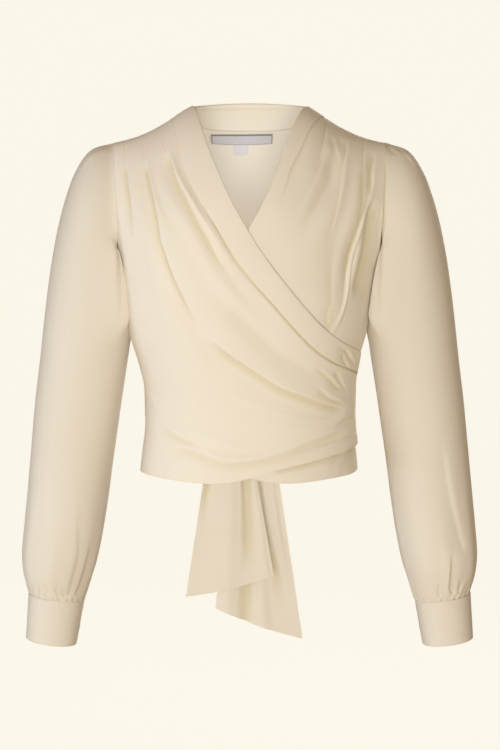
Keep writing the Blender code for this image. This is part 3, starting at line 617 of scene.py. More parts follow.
LINE_COLUMNS = (
    "share",
    "turn_0", "run_0",
    "turn_1", "run_1",
    "turn_2", "run_2",
    "turn_3", "run_3",
    "turn_4", "run_4",
    "turn_5", "run_5",
)
LINES = (
    (0.00, -90, 498, -48, 500, -13, 502, 19, 483, 55, 469, 100, 464),
    (0.12, -90, 412, -49, 436, -16, 461, 17, 463, 54, 452, 100, 455),
    (0.21, -90, 330, -62, 385, -29, 425, 6, 449, 47, 450, 100, 451),
    (0.30, -90, 245, -71, 332, -39, 396, 0, 436, 43, 447, 100, 447),
    (0.44, -54, 100, -55, 233, -49, 337, -13, 403, 35, 434, 100, 439),
    (0.56, -54.8, 0, -50, 190, -46, 312, -14, 386, 34, 426, 100, 433),
    (0.64, -48, 0, -46.5, 181, -44, 301, -14, 377, 34, 421, 100, 430),
    (0.75, -38, 0, -37, 171, -33, 285, -7, 351, 35, 405, 100, 420),
    (0.84, -35, 0, -33, 162, -21, 271, 5, 327, 41, 379, 100, 404),
    (0.93, -31, 0, -27, 157, -14, 261, 10, 316, 43, 364, 100, 393),
    (1.00, -28, 0, -25, 156, -11, 256, 13, 309, 45, 354, 100, 384),
    (1.20, -21, 0, -14, 143, -2, 239, 19, 294, 49, 333, 100, 358),
)
ARMPIT_SHARE, TIP_SHARE, BAND_SHARE, NECK_SHARE = 0.30, 0.56, 1.0, 1.20
BAND_WIDTH = 33.0          # millimetres of cloth between those last two shares
LAP_CLIMB = 45.0
LEFT_BAND_SHIFT = 1.5
TIE_START_TURN, TIE_INSIDE_TURN = 100.0, 82.0

FOLD_COLUMNS = ("share", "rise", "above", "below", "begins", "ends")
RIGHT_FOLDS = (
    (0.965, 1.8, 0.065, 0.05, 0.10, 0.50),
    (0.865, 2.0, 0.05, 0.06, 0.14, 0.60),
    (0.785, 2.2, 0.05, 0.07, 0.12, 0.80),
    (0.69, 1.6, 0.04, 0.06, 0.12, 0.50),
    (0.60, 0.4, 0.06, 0.06, 0.40, 0.97),
    (0.40, 0.5, 0.10, 0.10, 0.35, 0.95),
    (0.155, 1.2, 0.04, 0.05, 0.10, 0.55),
    (0.085, 1.8, 0.04, 0.06, 0.10, 0.97),
)
LEFT_FOLDS = (
    (0.925, 1.4, 0.06, 0.06, 0.05, 0.36),
    (0.81, 1.2, 0.05, 0.06, 0.10, 0.42),
    (0.70, 1.6, 0.045, 0.06, 0.09, 0.44),
    (0.62, 1.8, 0.03, 0.05, 0.11, 0.48),
)
# where the neckband's seam lies along each front: it wanders off its own line near the shoulder
SEAM_COLUMNS = ("along", "over", "under")
BAND_SEAM = (
    (0.0, 1.015, 1.03),
    (0.05, 1.025, 1.06),
    (0.10, 1.035, 1.09),
    (0.15, 1.044, 1.11),
    (0.23, 1.030, 1.13),
    (0.30, 1.027, 1.11),
    (0.38, 1.015, 1.08),
    (0.50, 1.008, 1.04),
    (1.0, 1.0, 1.04),
)
RIGHT_CREASES = (
    (((-47, 98), (-47, 139), (-47.5, 168), (-52, 224)), 2.1, 0.7, 7, 1.7, 6, 0.75, 14, 70),
    (((-38, 107), (-37, 153), (-37, 195), (-38, 232), (-36, 260), (-30, 297), (-22, 328)),
     2.9, 0.9, 10, 1.9, 8, 0.85, 16, 70),
    (((-29, 111), (-28, 142), (-27, 163), (-25, 191), (-23, 215), (-18, 251), (-13, 272), (-7, 284)),
     3.1, 0.9, 11, 2.0, 8, 0.8, 20, 50),
    (((-47, 40), (-47, 69), (-47, 98)), 0.4, 0.25, 3, 0.8, 3, 0.15, 5, 5),
    (((-39, 60), (-38, 89), (-38, 107)), 0.4, 0.25, 3, 0.8, 3, 0.15, 5, 5),
    (((-30, 70), (-30, 99), (-29, 111)), 0.4, 0.25, 3, 0.8, 3, 0.15, 5, 5),
    (((-22, 328), (-12, 344), (4, 366), (17, 386), (30, 398), (42, 408), (58, 417)),
     4.2, 2.4, 19, 2.8, 16, 0.75, 50, 25),
    (((-16, 297), (0, 322), (13, 343), (27, 360), (41, 380)), 1.6, 0.0, 12, 9, 10, 0.15, 50, 30),
    (((35, 382), (45, 399), (59, 411)), 2.4, 0.9, 10, 2.4, 8, 0.45, 20, 15),
    (((33, 358), (43, 373), (53, 391)), 2.2, 0.9, 8, 2.2, 6, 0.45, 16, 8),
    (((46, 362), (51, 376), (58, 392)), 1.9, 0.6, 6, 2.0, 5, 0.4, 8, 8),
    (((-36, 278), (-32, 298), (-26, 321), (-22, 336), (-14, 370)), 0.9, 0.0, 12, 6, 10, 0.08, 30, 40),
    (((-53, 435), (-33, 452), (-26, 455)), 1.3, 1.0, 7, 1.8, 8, 0.4, 20, 15),
    (((-44, 461), (-27, 467), (-13, 479), (2, 477), (18, 468), (30, 458), (59, 442)),
     2.0, 0.8, 13, 4.0, 14, 0.35, 30, 25),
    (((46, 439), (57, 429), (74, 426)), 1.2, 0.7, 6, 1.6, 6, 0.3, 12, 8),
)
BAND_CREASES = (
    (((44, 336), (51, 341), (60, 352)), 1.4, 0.5, 7, 1.8, 6, 0.3, 10, 8),
    (((49, 343), (52, 353), (57, 363)), 1.8, 0.7, 6, 1.8, 5, 0.4, 4, 8),
    (((51, 340), (57, 350), (66, 360)), 1.6, 0.6, 6, 1.8, 5, 0.35, 6, 8),
)
LEFT_CREASES = (
    (((28, 29), (27, 83), (26, 115), (25, 145)), 1.0, 0.25, 7, 1.4, 6, 0.45, 8, 40),
    (((29.5, 95), (30, 134), (30, 152), (28, 178), (24.8, 214), (21.5, 250)),
     4.6, 0.0, 20, 10, 14, 0.12, 30, 60),
    (((29, 73), (31, 95), (32, 108), (34, 115)), 1.4, 0.6, 7, 1.8, 7, 0.25, 8, 8),
    (((36, 61), (35, 92), (34, 121), (34, 156), (34, 187), (34, 220), (33, 242)),
     1.3, 0.3, 15, 2.2, 10, 0.2, 8, 60),
    (((44, 36), (43, 83), (43, 110)), 0.7, 0.4, 5, 0.9, 5, 0.2, 6, 12),
    (((42, 106), (43, 139), (44, 162), (45.5, 192), (46.5, 224), (46.5, 255), (45, 278)),
     0.6, 0.2, 11, 2.8, 6, 0.7, 15, 40),
    (((43.5, 170), (46, 205), (46.8, 240), (46, 270), (44, 300)), 5.6, 0.0, 52, 7.5, 6, 0.0, 60, 50),
    (((52, 289), (54.5, 264), (55.5, 235), (52.5, 205), (50, 178), (48.5, 152)),
     4.8, 0.0, 20, 7.5, 5, 0.6, 30, 20),
    (((49, 66), (47, 99), (47, 123), (48, 151)), 2.0, 0.5, 7, 2.2, 6, 0.6, 12, 15),
    (((38, 240), (38, 269), (38, 293), (41, 321)), 0.6, 0.0, 10, 3, 8, 0.4, 30, 10),
    (((37, 298), (38, 314), (40, 325)), 1.6, 0.8, 7, 1.2, 5, 0.5, 8, 4),
    (((42, 488), (53, 473), (70, 466)), 1.4, 0.8, 6, 1.6, 6, 0.3, 10, 5),
    (((50, 491), (59, 478), (71, 471)), 1.2, 0.7, 5, 1.5, 5, 0.25, 8, 5),
    (((12, 486), (19, 484), (36, 477), (55, 470), (76, 468)), 1.4, 0.0, 3, 1.4, 4, 0.9, 6, 4),
)


def line_point(share, along, name):
    """A turn or a run on the front's lines, at shares and places along them."""
    columns = [column for column in LINE_COLUMNS if column.startswith(name)]
    stations = np.array([table_curve(LINES, LINE_COLUMNS, "share", k)(share) for k in columns])
    slopes = np.gradient(stations, axis=0)
    spans = len(columns) - 1
    place = np.clip(along, 0, 1) * spans
    i = np.minimum(place.astype(int), spans - 1)
    around = [
        np.take_along_axis(values, (i + k)[None], 0)[0]
        for values in (stations, slopes) for k in (0, 1)
    ]
    return between(place - i, *around)


def start_edge(share):
    """Turn and run of a front's start edge: side seam, armhole, then shoulder seam."""
    share = np.asarray(share, float)
    side_run = SIDE_HEM_RUN + (ARMPIT_RUN - SIDE_HEM_RUN) * share / ARMPIT_SHARE
    arm_run = armhole_run(np.clip((TIP_SHARE - share) / (TIP_SHARE - ARMPIT_SHARE), 0, 1))
    shares = column(LINES, LINE_COLUMNS, "share")
    shoulder_turn = np.interp(share, shares, -column(LINES, LINE_COLUMNS, "turn_0"))
    stretch = [share < ARMPIT_SHARE, share < TIP_SHARE]
    run = np.select(stretch, [side_run, arm_run], SHOULDER_GAP_RUN)
    turn = np.select(stretch, [0 * share + 90 - SIDE_GAP_TURN, armhole_edge(arm_run)], shoulder_turn)
    return -turn, run


def front_place(share, along, end_turn):
    """Turn and run on the right front, with its last stretch drawn to end_turn."""
    turn = line_point(share, along, "turn")
    run = line_point(share, along, "run")
    exact_turn, exact_run = start_edge(share)
    from_table_turn = line_point(share, np.zeros_like(along), "turn")
    from_table_run = line_point(share, np.zeros_like(along), "run")
    near = 1 - smooth(0, 0.2, along)
    turn = turn + (exact_turn - from_table_turn) * near
    run = run + (exact_run - from_table_run) * near
    turn = turn + (end_turn - TIE_START_TURN) * smooth(0.45, 1.0, along)
    return turn, run


def fold_rise(share, along, folds):
    """Rise of the draped folds: each climbs from above and drops more steeply below."""
    rise = np.zeros(np.broadcast(share, along).shape)
    for fold in named(FOLD_COLUMNS, folds):
        off = share - fold["share"]
        side = np.where(off > 0, off / fold["above"], -off / fold["below"])
        fade = window(fold["begins"], fold["begins"] + 0.1, fold["ends"] - 0.12, fold["ends"], along)
        rise += fold["rise"] * (1 - smooth(0, 1, side)) * fade
    return rise


def lapped(turn, run, start_turn, start_run):
    """0 at the right front's start edge, 1 where it has climbed over the left front."""
    return smooth(0, LAP_CLIMB, np.hypot((turn - start_turn) * 2, run - start_run))


def tucked(turn):
    """How far the under layer lies inside the form near the right side seam."""
    return LAYER * (1 - smooth(0, LAP_CLIMB, 2 * np.abs(turn + 90)))


PRESS = 1.7                # the over-front is drawn in by this much at the left side


def pressed(turn, run):
    """How far the over-front and the start of its tie are drawn in at the wearer's left side."""
    return PRESS * window(38, 72, 112, 140, turn) * (1 - smooth(368, 400, run))


def front_surface(side, share, along):
    """Turn, run and rise of a front; side is -1 for the right and 1 for the left."""
    share, along = np.broadcast_arrays(np.asarray(share, float), np.asarray(along, float))
    if side < 0:
        turn, run = front_place(share, along, TIE_START_TURN)
        start_turn, start_run = start_edge(share)
        rise = LAYER * lapped(turn, run, start_turn, start_run) - pressed(turn, run)
        return turn, run, rise + fold_rise(share, along, RIGHT_FOLDS)
    turn, run = front_place(share, along, TIE_INSIDE_TURN)
    turn = -turn
    shift = smooth(0, 120, run) * smooth(0.8, 1.2, share) * (1 - smooth(0.5, 0.9, along))
    turn = turn - LEFT_BAND_SHIFT * shift
    return turn, run, fold_rise(share, along, LEFT_FOLDS) - tucked(turn)


def band_seam(side, along):
    """Share at which the neckband is sewn to a front."""
    return table_curve(BAND_SEAM, SEAM_COLUMNS, "along", "over" if side < 0 else "under")(along)


def allowance(outer, normals, width=2.2, sunk=1.0):
    """A further first column: the seam allowance, turned in under the next panel."""
    away = unit(outer[:, 0] - outer[:, 3])
    return np.concatenate([(outer[:, 0] + width * away - sunk * normals[:, 0])[:, None], outer], 1)


BAND_STEP = 0.6            # the doubled band stands this much above the single cloth
HEM_SHADE_PAINT = 0.2             # painted shade this dark along the turned edge of a hem
UNDER_BAND = 0.014         # the cloth of a front runs on this share under its band
SOFT_DIP, CRISP_DIP = 1.3, 0.9   # how far the cloth sinks into the right and the left armhole
UNDER_STEP = (0.22, 0.34)  # places along the under-front where its band starts to stand above it


def front_panel(name, side, shares, along, rows):
    share, along = shares[:, None], along[None, :]
    seam = band_seam(side, along)
    share = share + (seam - BAND_SHARE) * smooth(0.62, 1.0, share)
    turn, run, rise = front_surface(side, share, along)
    points, normals = form(turn, run), form_normal(turn, run)
    more, painted_shade_and_border = creased(turn, run, rows)
    quiet = window(0, 0.03, 0.97, 1, along)
    rise = rise + quiet * (more + drift(points, 0.45, phase=side))
    at_seam = (seam - share) * BAND_WIDTH / (NECK_SHARE - BAND_SHARE)
    crisp = smooth(0.27, 0.42, along) if side < 0 else 0.55 * (1 - smooth(*UNDER_STEP, along))
    soft = window(0.10, 0.24, 0.42, 0.62, along) * (side < 0)
    near = np.maximum(at_seam, 0)
    if side > 0:
        rise = rise + BAND_STEP * smooth(*UNDER_STEP, along) * bell(near, 10)
    rise = rise - (0.3 * (side < 0) + 1.5 * crisp) * bell(near, 2.3)
    rise = rise - 1.5 * soft * bell(near, 8)
    # painted shade along the neckband seam
    painted_shade_and_border = np.maximum(painted_shade_and_border, (0.1 * (side < 0) + 0.75 * crisp) * bell(at_seam, 2.2))
    start_turn, start_run = start_edge(share)
    from_edge = np.hypot(2 * (np.abs(turn) - np.abs(start_turn)), run - start_run)
    by_sleeve = window(0.27, 0.32, 0.545, 0.56, share)
    if side < 0:
        rise = rise - SOFT_DIP * by_sleeve * bell(from_edge, 9)
        over = lapped(turn, run, start_turn, start_run) * smooth(180, 260, run)
        rise = np.maximum(rise, 1.5 * over - pressed(turn, run))
    else:
        rise = rise - CRISP_DIP * by_sleeve * bell(from_edge, 1.7)
        # painted shade along the wearer's left armhole seam
        painted_shade_and_border = np.maximum(painted_shade_and_border, 0.9 * by_sleeve * bell(from_edge, 1.6))
    outer = allowance(points + rise[..., None] * normals, normals)
    to_hem = np.linalg.norm(points - points[:1], axis=-1)
    # painted shadow along the hem's edge
    painted_shade_and_border = np.maximum(painted_shade_and_border, HEM_SHADE_PAINT * bell(to_hem, 0.9))
    painted_shade_and_border = np.concatenate([painted_shade_and_border[:, :1], painted_shade_and_border], 1)
    normals = np.concatenate([normals[:, :1], normals], 1)
    stitch_along(outer)
    return shell(name, outer, crepe, painted_shade_and_border=painted_shade_and_border, outward=normals)


def front_shares(side_steps, arm_steps, shoulder_steps):
    side = np.linspace(0, ARMPIT_SHARE, side_steps + 1)
    arm = np.linspace(ARMPIT_SHARE, TIP_SHARE, arm_steps + 1)
    shoulder = np.linspace(TIP_SHARE, BAND_SHARE + UNDER_BAND, shoulder_steps + 1)
    return np.concatenate([side, arm[1:], shoulder[1:]])


front_right = front_panel(
    "front_over", -1, front_shares(52, 48, 136), edge_fine(144), RIGHT_CREASES
)
dress(front_right, "front_right")
front_left = front_panel(
    "front_under", 1, front_shares(34, 48, 130), edge_fine(114), LEFT_CREASES
)
dress(front_left, "front_left")


# ================================================================ neckband
# A straight strip of crepe folded along its length, so both faces are cloth, and sewn round
# the neckline.  It is pressed flat and smooth, with a crisp folded edge at the neck.

BAND_WALL = 1.9
FREE_EDGE_DROP = 1.6       # the crossing band's folded edge lies this much closer to the body
WALL = BAND_WALL - BAND_STEP


def pillowed(outer, normal, thickness, start_distance, end_distance):
    """Outer points and thickness of a folded strip, rounded off where an edge is near."""
    half = thickness / 2
    near = np.clip(np.minimum(start_distance, end_distance) / half, 0.04, 1)
    full = np.sqrt(1 - (1 - near) ** 2)
    return outer - (half * (1 - full))[..., None] * normal, thickness * full


def across_band(first, last, width):
    """Shares across a strip, close together at both edges, with their distances to the edges."""
    near = np.array([0, 0.12, 0.3, 0.6, 1.0, 1.6])
    distance = np.concatenate([near, np.linspace(2.4, width - 2.4, 22), width - near[::-1]])
    return first + (last - first) * distance / width, distance


for name, side, length, area in (("right", -1, 0.545, 0.0178), ("left", 1, 0.53, 0.0125)):
    share, distance = across_band(0, 1, BAND_WIDTH)
    along = np.linspace(0, 1, 180)[None, :]
    seam = band_seam(side, along) + 0.002
    share = seam + (NECK_SHARE - seam) * share[:, None]
    width = BAND_WIDTH * (NECK_SHARE - seam) / (NECK_SHARE - BAND_SHARE)
    distance = distance[:, None] / BAND_WIDTH * width
    turn, run, rise = front_surface(side, share, along + 0 * share)
    normals = form_normal(turn, run)
    points = form(turn, run)
    more, painted_shade_and_border = creased(turn, run, BAND_CREASES if side < 0 else ())
    free = distance / width * smooth(0.3, 0.45, along) * (side < 0)
    rise = rise + BAND_STEP + drift(points, 0.2) + more - FREE_EDGE_DROP * free**2
    outer = points + rise[..., None] * normals
    flush = 3 * smooth(*UNDER_STEP, along) * (side > 0)
    outer, thickness = pillowed(outer, normals, BAND_WALL, distance + flush, width - distance)
    band = shell(f"band_{name}", outer, crepe, thickness=thickness, painted_shade_and_border=painted_shade_and_border, outward=normals)
    dress(band, f"neckband_{name}")

BACK_BAND_HALF = 74.0
BACK_BAND_DEPTH = 65.0
BACK_BAND_TOP = 5.4
BACK_BAND_END = 1.6
BACK_BAND_WIDTH = 33.5
BACK_BAND_ROUND = 2.4
ROLL_DROP = 6.6            # the folded edge's turn shows as a thinner line with painted shade this far below the top
turns = NECK_TURN * np.sin(np.linspace(-math.pi / 2, math.pi / 2, 121))
seam = form(180 - turns, neck_run(turns))
x = seam[:, 0] * BACK_BAND_HALF / abs(seam[0, 0])
share = np.abs(x) / BACK_BAND_HALF
bow = np.maximum(1 - share**BACK_BAND_ROUND, 0) ** (1 / BACK_BAND_ROUND)
y = BACK_BAND_DEPTH * bow + seam[0, 1]
z = BACK_BAND_END + (BACK_BAND_TOP - BACK_BAND_END) * (1 - share**2)
top = np.stack([x, y, z], -1)
length = np.linalg.norm(top - seam, axis=-1, keepdims=True)
seam = seam + (top - seam) * SEAM / length
share, distance = across_band(0, 1, BACK_BAND_WIDTH)
outer = seam + (top - seam) * share[:, None, None]
normals = sheet_normals(outer)
if normals[0, len(turns) // 2, 1] < 0:
    normals = -normals
normals[:, (0, -1), 1] = 0
normals = unit(normals)
distance = distance[:, None] + 0 * outer[..., 0]
to_top = BACK_BAND_WIDTH - distance
roll = bell(to_top - ROLL_DROP, 0.8)
outer, thickness = pillowed(outer, normals, BAND_WALL, distance, to_top)
# painted shade along the roll line
band_back = shell(
    "band_back", outer, crepe, thickness=thickness - 0.55 * roll, painted_shade_and_border=0.5 * roll, outward=normals
)
dress(band_back, "neckband_back")


# ================================================================ sleeves
# Long full sleeves, each one piece of crepe with its seam under the arm.  The cap is eased
# into the armhole with two small gathers at the top, and the end is gathered into the cuff.

SLEEVE_COLUMNS = ("ring", "outer_x", "outer_z", "inner_x", "inner_z", "half_depth", "centre_y")
SLEEVE = (
    (0, 171, -43.5, 165.5, -204, 50, 0),
    (1, 200, -53, 165.5, -211, 55, 1),
    (2, 219, -78, 162.5, -222, 59, 2),
    (3, 232, -110, 158.5, -236, 61, 3),
    (4, 243, -150, 154.5, -252, 61, 3),
    (5, 252.5, -200, 150.5, -275, 60, 3),
    (6, 260, -255, 153.5, -305, 58, 2),
    (7, 267, -318, 159.5, -345, 56, 0),
    (8, 274, -372, 166.5, -392, 54, -1),
    (9, 280, -430, 174.5, -446, 52, -2),
    (10, 285.5, -485, 182, -500, 50, -3),
    (11, 290.5, -533, 190, -548, 48, -4),
    (12, 293.5, -568, 197, -580, 46, -5),
    (13, 292, -592.5, 203, -599, 42.5, -5),
    (14, 288, -609.5, 208.3, -616, 37.5, -5),
    (15, 284, -621, 213.5, -630, 34, -5),
)
SLEEVE_ROUNDNESS = 2.15
LAST_RING = 15.0
SLEEVE_FOLD_COLUMNS = ("turned", "rise", "width", "top", "bottom")
SLEEVE_FOLDS = (
    (38, 1.0, 16, 9.0, 15),
    (84, 0.8, 14, 10.0, 15),
    (160, 1.2, 16, 8.5, 15),
    (206, 2.0, 16, 7.0, 15),
    (262, 2.2, 14, 9.0, 15),
    (318, 1.8, 16, 8.0, 15),
    (24, 1.1, 11, -0.5, 2.6),
    (336, 1.3, 11, -0.5, 2.6),
)
# creases of the sleeves, wearer's left then right: lines of ring and turned places
LEFT_SLEEVE_CREASES = (
    (((8.6, 74), (9.9, 69), (10.7, 63), (11.9, 54)), 2.0, 0.4, 16, 5.0, 12, 0.05, 45, 20),
    (((14.4, 72), (13.4, 79), (12.4, 77), (11.6, 73)), 1.5, 1.0, 6, 1.4, 5, 0.25, 2, 20),
    (((14.5, 58), (13.7, 62), (12.9, 62)), 1.0, 0.6, 5, 1.4, 5, 0.2, 2, 12),
    (((14.6, 98), (13.9, 101), (13.2, 99)), 0.8, 0.5, 4, 1.2, 4, 0.15, 2, 10),
    (((0.06, 6), (0.3, 22), (0.55, 30)), 1.5, 0.9, 5, 1.4, 5, 0.4, 0, 6),
    (((0.5, 12), (0.9, 24), (1.4, 30)), 1.0, 0.8, 6, 2.0, 6, 0.15, 4, 8),
    (((6.4, 205), (7.0, 232), (7.4, 268)), 1.6, 0.9, 13, 3, 12, 0.2, 25, 30),
    (((7.4, 196), (7.9, 222), (8.5, 250)), 1.4, 0.8, 11, 2.5, 10, 0.2, 20, 25),
    (((14.3, 236), (13.0, 229), (11.2, 226)), 1.3, 0.8, 8, 2, 8, 0.2, 2, 30),
    (((14.3, 300), (12.8, 297), (11.6, 290)), 1.2, 0.8, 8, 2, 8, 0.2, 2, 30),
)
RIGHT_SLEEVE_CREASES = (
    (((14.4, 117), (12.9, 120), (11.8, 122), (10.7, 116), (9.9, 109)),
     1.2, 0.4, 12, 3.6, 12, 0.08, 2, 60),
    (((14.4, 133), (12.8, 139), (11.8, 140), (11.0, 132)), 1.8, 0.6, 9, 3.2, 8, 0.2, 2, 35),
    (((14.6, 96), (13.9, 91), (13.4, 86)), 1.0, 0.6, 4, 1.2, 4, 0.2, 2, 8),
    (((14.5, 76), (13.8, 70), (13.0, 65)), 0.9, 0.6, 4, 1.2, 4, 0.2, 2, 12),
    (((14.6, 108), (14.0, 103), (13.6, 99)), 0.9, 0.6, 4, 1.2, 4, 0.2, 2, 8),
    (((6.6, 208), (7.2, 236), (7.5, 264)), 1.6, 0.9, 13, 3, 12, 0.2, 25, 30),
    (((7.7, 200), (8.1, 226), (8.8, 246)), 1.3, 0.8, 11, 2.5, 10, 0.2, 20, 25),
    (((14.3, 246), (13.0, 240), (11.4, 232)), 1.3, 0.8, 8, 2, 8, 0.2, 2, 30),
    (((14.3, 310), (12.8, 304), (11.4, 300)), 1.2, 0.8, 8, 2, 8, 0.2, 2, 30),
)


def ring_value(name, ring):
    return table_curve(SLEEVE, SLEEVE_COLUMNS, "ring", name)(ring)


def sleeve_ring(ring, turned):
    """Points of the left sleeve; turned is 0 at the outer side, 90 at the front, 180 inside."""
    ring, turned = np.broadcast_arrays(np.asarray(ring, float), np.asarray(turned, float))
    outer, inner = (
        np.stack([ring_value(f"{edge}_x", ring), 0 * ring, ring_value(f"{edge}_z", ring)], -1)
        for edge in ("outer", "inner")
    )
    size = reach(turned + 90, SLEEVE_ROUNDNESS)
    c = (size * np.cos(np.radians(turned)))[..., None]
    s = size * np.sin(np.radians(turned))
    points = (outer + inner) / 2 + (outer - inner) / 2 * c
    points[..., 1] = ring_value("centre_y", ring) - ring_value("half_depth", ring) * s
    return points


def armhole_loop(turned):
    """The sleeve's first ring: the armhole's own points, moved out across the seam."""
    place = turned_between(turned, 0) / 180

    def edge(place):
        run = armhole_run(place)
        return form(armhole_edge(run), run)

    tangent = unit(edge(np.minimum(place + 0.004, 1)) - edge(np.maximum(place - 0.004, 0)))
    run = armhole_run(place)
    away = unit(np.cross(form_normal(armhole_edge(run), run), tangent))
    points = edge(place)
    points[..., 0] += np.minimum(0.3 * SEAM / np.maximum(np.abs(away[..., 0]), 0.01), SEAM)
    points[..., 1] *= np.where((turned % 360) > 180, -1, 1)
    return points


REST_GAP = -2.5            # the sleeve is pressed this far into the side that it rests against
UNDERARM_FRONT = 45.0      # over the armpit its cloth lies at least this far forward
DRAWN_IN = 26.0            # and lies in against the side, the more so the nearer it is


def positive(value, softness):
    """A value where it is above 0, else 0, with a soft corner between."""
    return 0.5 * (value + np.sqrt(value**2 + softness))


def sleeve_surface(ring, turned):
    """The left sleeve: rings of the table, blended into the armhole and resting on the side."""
    ring, turned = np.broadcast_arrays(np.asarray(ring, float), np.asarray(turned, float))
    points = sleeve_ring(ring, turned)
    step = armhole_loop(turned) - sleeve_ring(0 * ring, turned)
    points = points + step * (1 - smooth(0, 3.2, ring))[..., None]
    level = points[..., 2]
    facing = window(85, 115, 235, 265, turned) * smooth(0, 0.07, ring)
    over_pit = smooth(0, 0.18, ring) * window(130, 160, 225, 270, -level)
    over_pit = over_pit * window(95, 115, 158, 178, turned)
    behind = UNDERARM_FRONT + points[..., 1]
    points[..., 1] -= over_pit * positive(behind, 30)
    forward = -points[..., 1]
    depth = np.where(forward > 0, front_depth(level), back_depth(level))
    deep = np.clip(np.abs(forward) / depth, 0, 0.95)
    side = half_width(level) * (1 - deep**BODY_ROUNDNESS) ** (1 / BODY_ROUNDNESS)
    leaves = smooth(0, 0.7, ring)
    rest = REST_GAP + LAYER * smooth(0, LAP_CLIMB, forward)
    short = side + leaves * rest + (1 - leaves) * over_pit - points[..., 0]
    push = positive(short, 1.2)
    away = push - short
    drawn = away * DRAWN_IN / (away + DRAWN_IN)
    hug = away * (1 - smooth(40, 60, np.abs(forward)))
    held = window(145, 180, 252, 300, -level)
    points[..., 0] += (push - np.maximum(hug, drawn) * held) * facing
    return points


# gathers above the cuff: turned, rise, half width in degrees, and height up the sleeve in rings
PUCKER_COLUMNS = ("turned", "rise", "half", "tall", "lean")
PUCKER_SEEDS = {1: 11, -1: 23}


def puckers(side):
    """Uneven small gathers side by side, some slanting, with a few that run further up."""
    draw = np.random.default_rng(PUCKER_SEEDS[side])
    rows, at = [], 4.0
    while at < 356:
        gap = draw.uniform(8, 19)
        tall = draw.uniform(0.5, 1.2) + (draw.uniform() < 0.3) * draw.uniform(0.5, 1.7)
        rows.append((at + gap / 2, draw.uniform(0.7, 2.0), gap / 2, tall, draw.uniform(-8, 8)))
        at += gap
    return rows


def turned_between(turned, other):
    """The smaller turn between two places round a sleeve, without its sign."""
    return np.abs((turned - other + 180) % 360 - 180)


def sleeve_rise(ring, turned, side):
    """Rise of the gathers above the cuff and the longer folds that run up from them, with painted
    shade between the gathers.
    """
    rise = np.zeros(np.broadcast(ring, turned).shape)
    tall = rise + 0.001
    for fold in named(PUCKER_COLUMNS, puckers(side)):
        at = fold["turned"] + fold["lean"] * (LAST_RING - ring)
        off = turned_between(turned, at) / fold["half"]
        grown = fold["rise"] * smooth(LAST_RING - fold["tall"], LAST_RING + 0.2, ring)
        rise = np.maximum(rise, grown * np.maximum(1 - off**2.2, 0))
        tall = np.maximum(tall, grown * (off < 1.25))
    # painted shade: darker between the gathers, where they are low
    shade_paint = 0.65 * bell(rise, 0.28 * tall) * smooth(0.15, 0.7, tall)
    rise = rise - 0.5 * smooth(LAST_RING - 0.4, LAST_RING, ring)
    for fold in named(SLEEVE_FOLD_COLUMNS, SLEEVE_FOLDS):
        off = turned_between(turned, fold["turned"]) / fold["width"]
        fade = window(fold["top"], fold["top"] + 2, fold["bottom"] - 2, fold["bottom"], ring)
        rise = rise + fold["rise"] * (1 - smooth(0, 1, off)) * fade
    return rise * smooth(0, 0.6, ring), shade_paint


def mirrored(points, side):
    return points * np.array([side, 1, 1])


SLEEVE_SIDES = 224         # columns of points round each sleeve
GATHERS_START = 12         # rings lie closer together from here to the last
near_armhole = np.array([0, 0.03, 0.07, 0.13])
loose, gathered = np.linspace(0.22, GATHERS_START, 90), np.linspace(GATHERS_START, LAST_RING, 47)
rings = np.concatenate([near_armhole, loose, gathered[1:]])[:, None]
turned = (np.arange(SLEEVE_SIDES) * 360 / SLEEVE_SIDES)[None, :]
surface = sleeve_surface(rings, turned)
normals = sheet_normals(surface, closed=True)
if (normals * (surface - surface.mean(1, keepdims=True))).sum() < 0:
    normals = -normals
SIDES = (("left", 1), ("right", -1))
for name, side in SIDES:
    rise, painted_shade_and_border = sleeve_rise(rings, turned, side)
    rise = rise + drift(surface, 0.5, 42.0, phase=side) * smooth(0, 1, rings)
    worn, worn_normals = mirrored(surface, side), mirrored(normals, side)
    for fold in named(CREASE_COLUMNS, LEFT_SLEEVE_CREASES if side > 0 else RIGHT_SLEEVE_CREASES):
        line = mirrored(sleeve_surface(*traced(fold["line"], 0.05)), side)
        more, more_shade_paint = crease(worn, worn_normals, line, fold)
        rise = rise + more
        painted_shade_and_border = np.maximum(painted_shade_and_border, more_shade_paint)
    from_seam = np.linalg.norm(surface - surface[:1], axis=-1)
    in_front = window(3, 12, 150, 170, turned)
    if side > 0:
        at_seam = bell(from_seam, 1.6) * smooth(0, 12, turned) * (turned < 300)
        rise = rise - CRISP_DIP * at_seam
        # painted shade along the wearer's left armhole seam
        painted_shade_and_border = np.maximum(painted_shade_and_border, 0.9 * at_seam)
    else:
        rise = rise - SOFT_DIP * bell(from_seam - 4, 6) * in_front
    outer = surface + rise[..., None] * normals
    tucked_in = sleeve_ring(LAST_RING, turned)[0] - 1.6 * normals[-1] + np.array([0, 0, -4.0])
    under_panel = outer[0] + 1.5 * unit(outer[0] - outer[3]) - 0.4 * normals[0]
    outer = np.concatenate(
        [under_panel[None], outer, 0.4 * outer[-1:] + 0.6 * tucked_in[None], tucked_in[None]]
    )
    painted_shade_and_border = painted_shade_and_border + 0 * turned
    painted_shade_and_border = np.concatenate([painted_shade_and_border[:1], painted_shade_and_border, painted_shade_and_border[-1:], painted_shade_and_border[-1:]])
    outward = np.concatenate([normals[:1], normals, normals[-1:], normals[-1:]])
    sleeve = shell(
        f"sleeve_cloth_{name}", mirrored(outer, side), shaded_sleeve_crepe, painted_shade_and_border=painted_shade_and_border, closed=True,
        outward=mirrored(outward, side),
    )
    dress(sleeve, f"sleeve_{name}")


# ================================================================ cuffs and buttons
# Deep straight cuffs of doubled crepe with a soft edge, lapped at the outer back of the wrist
# and closed by two small four-hole buttons.

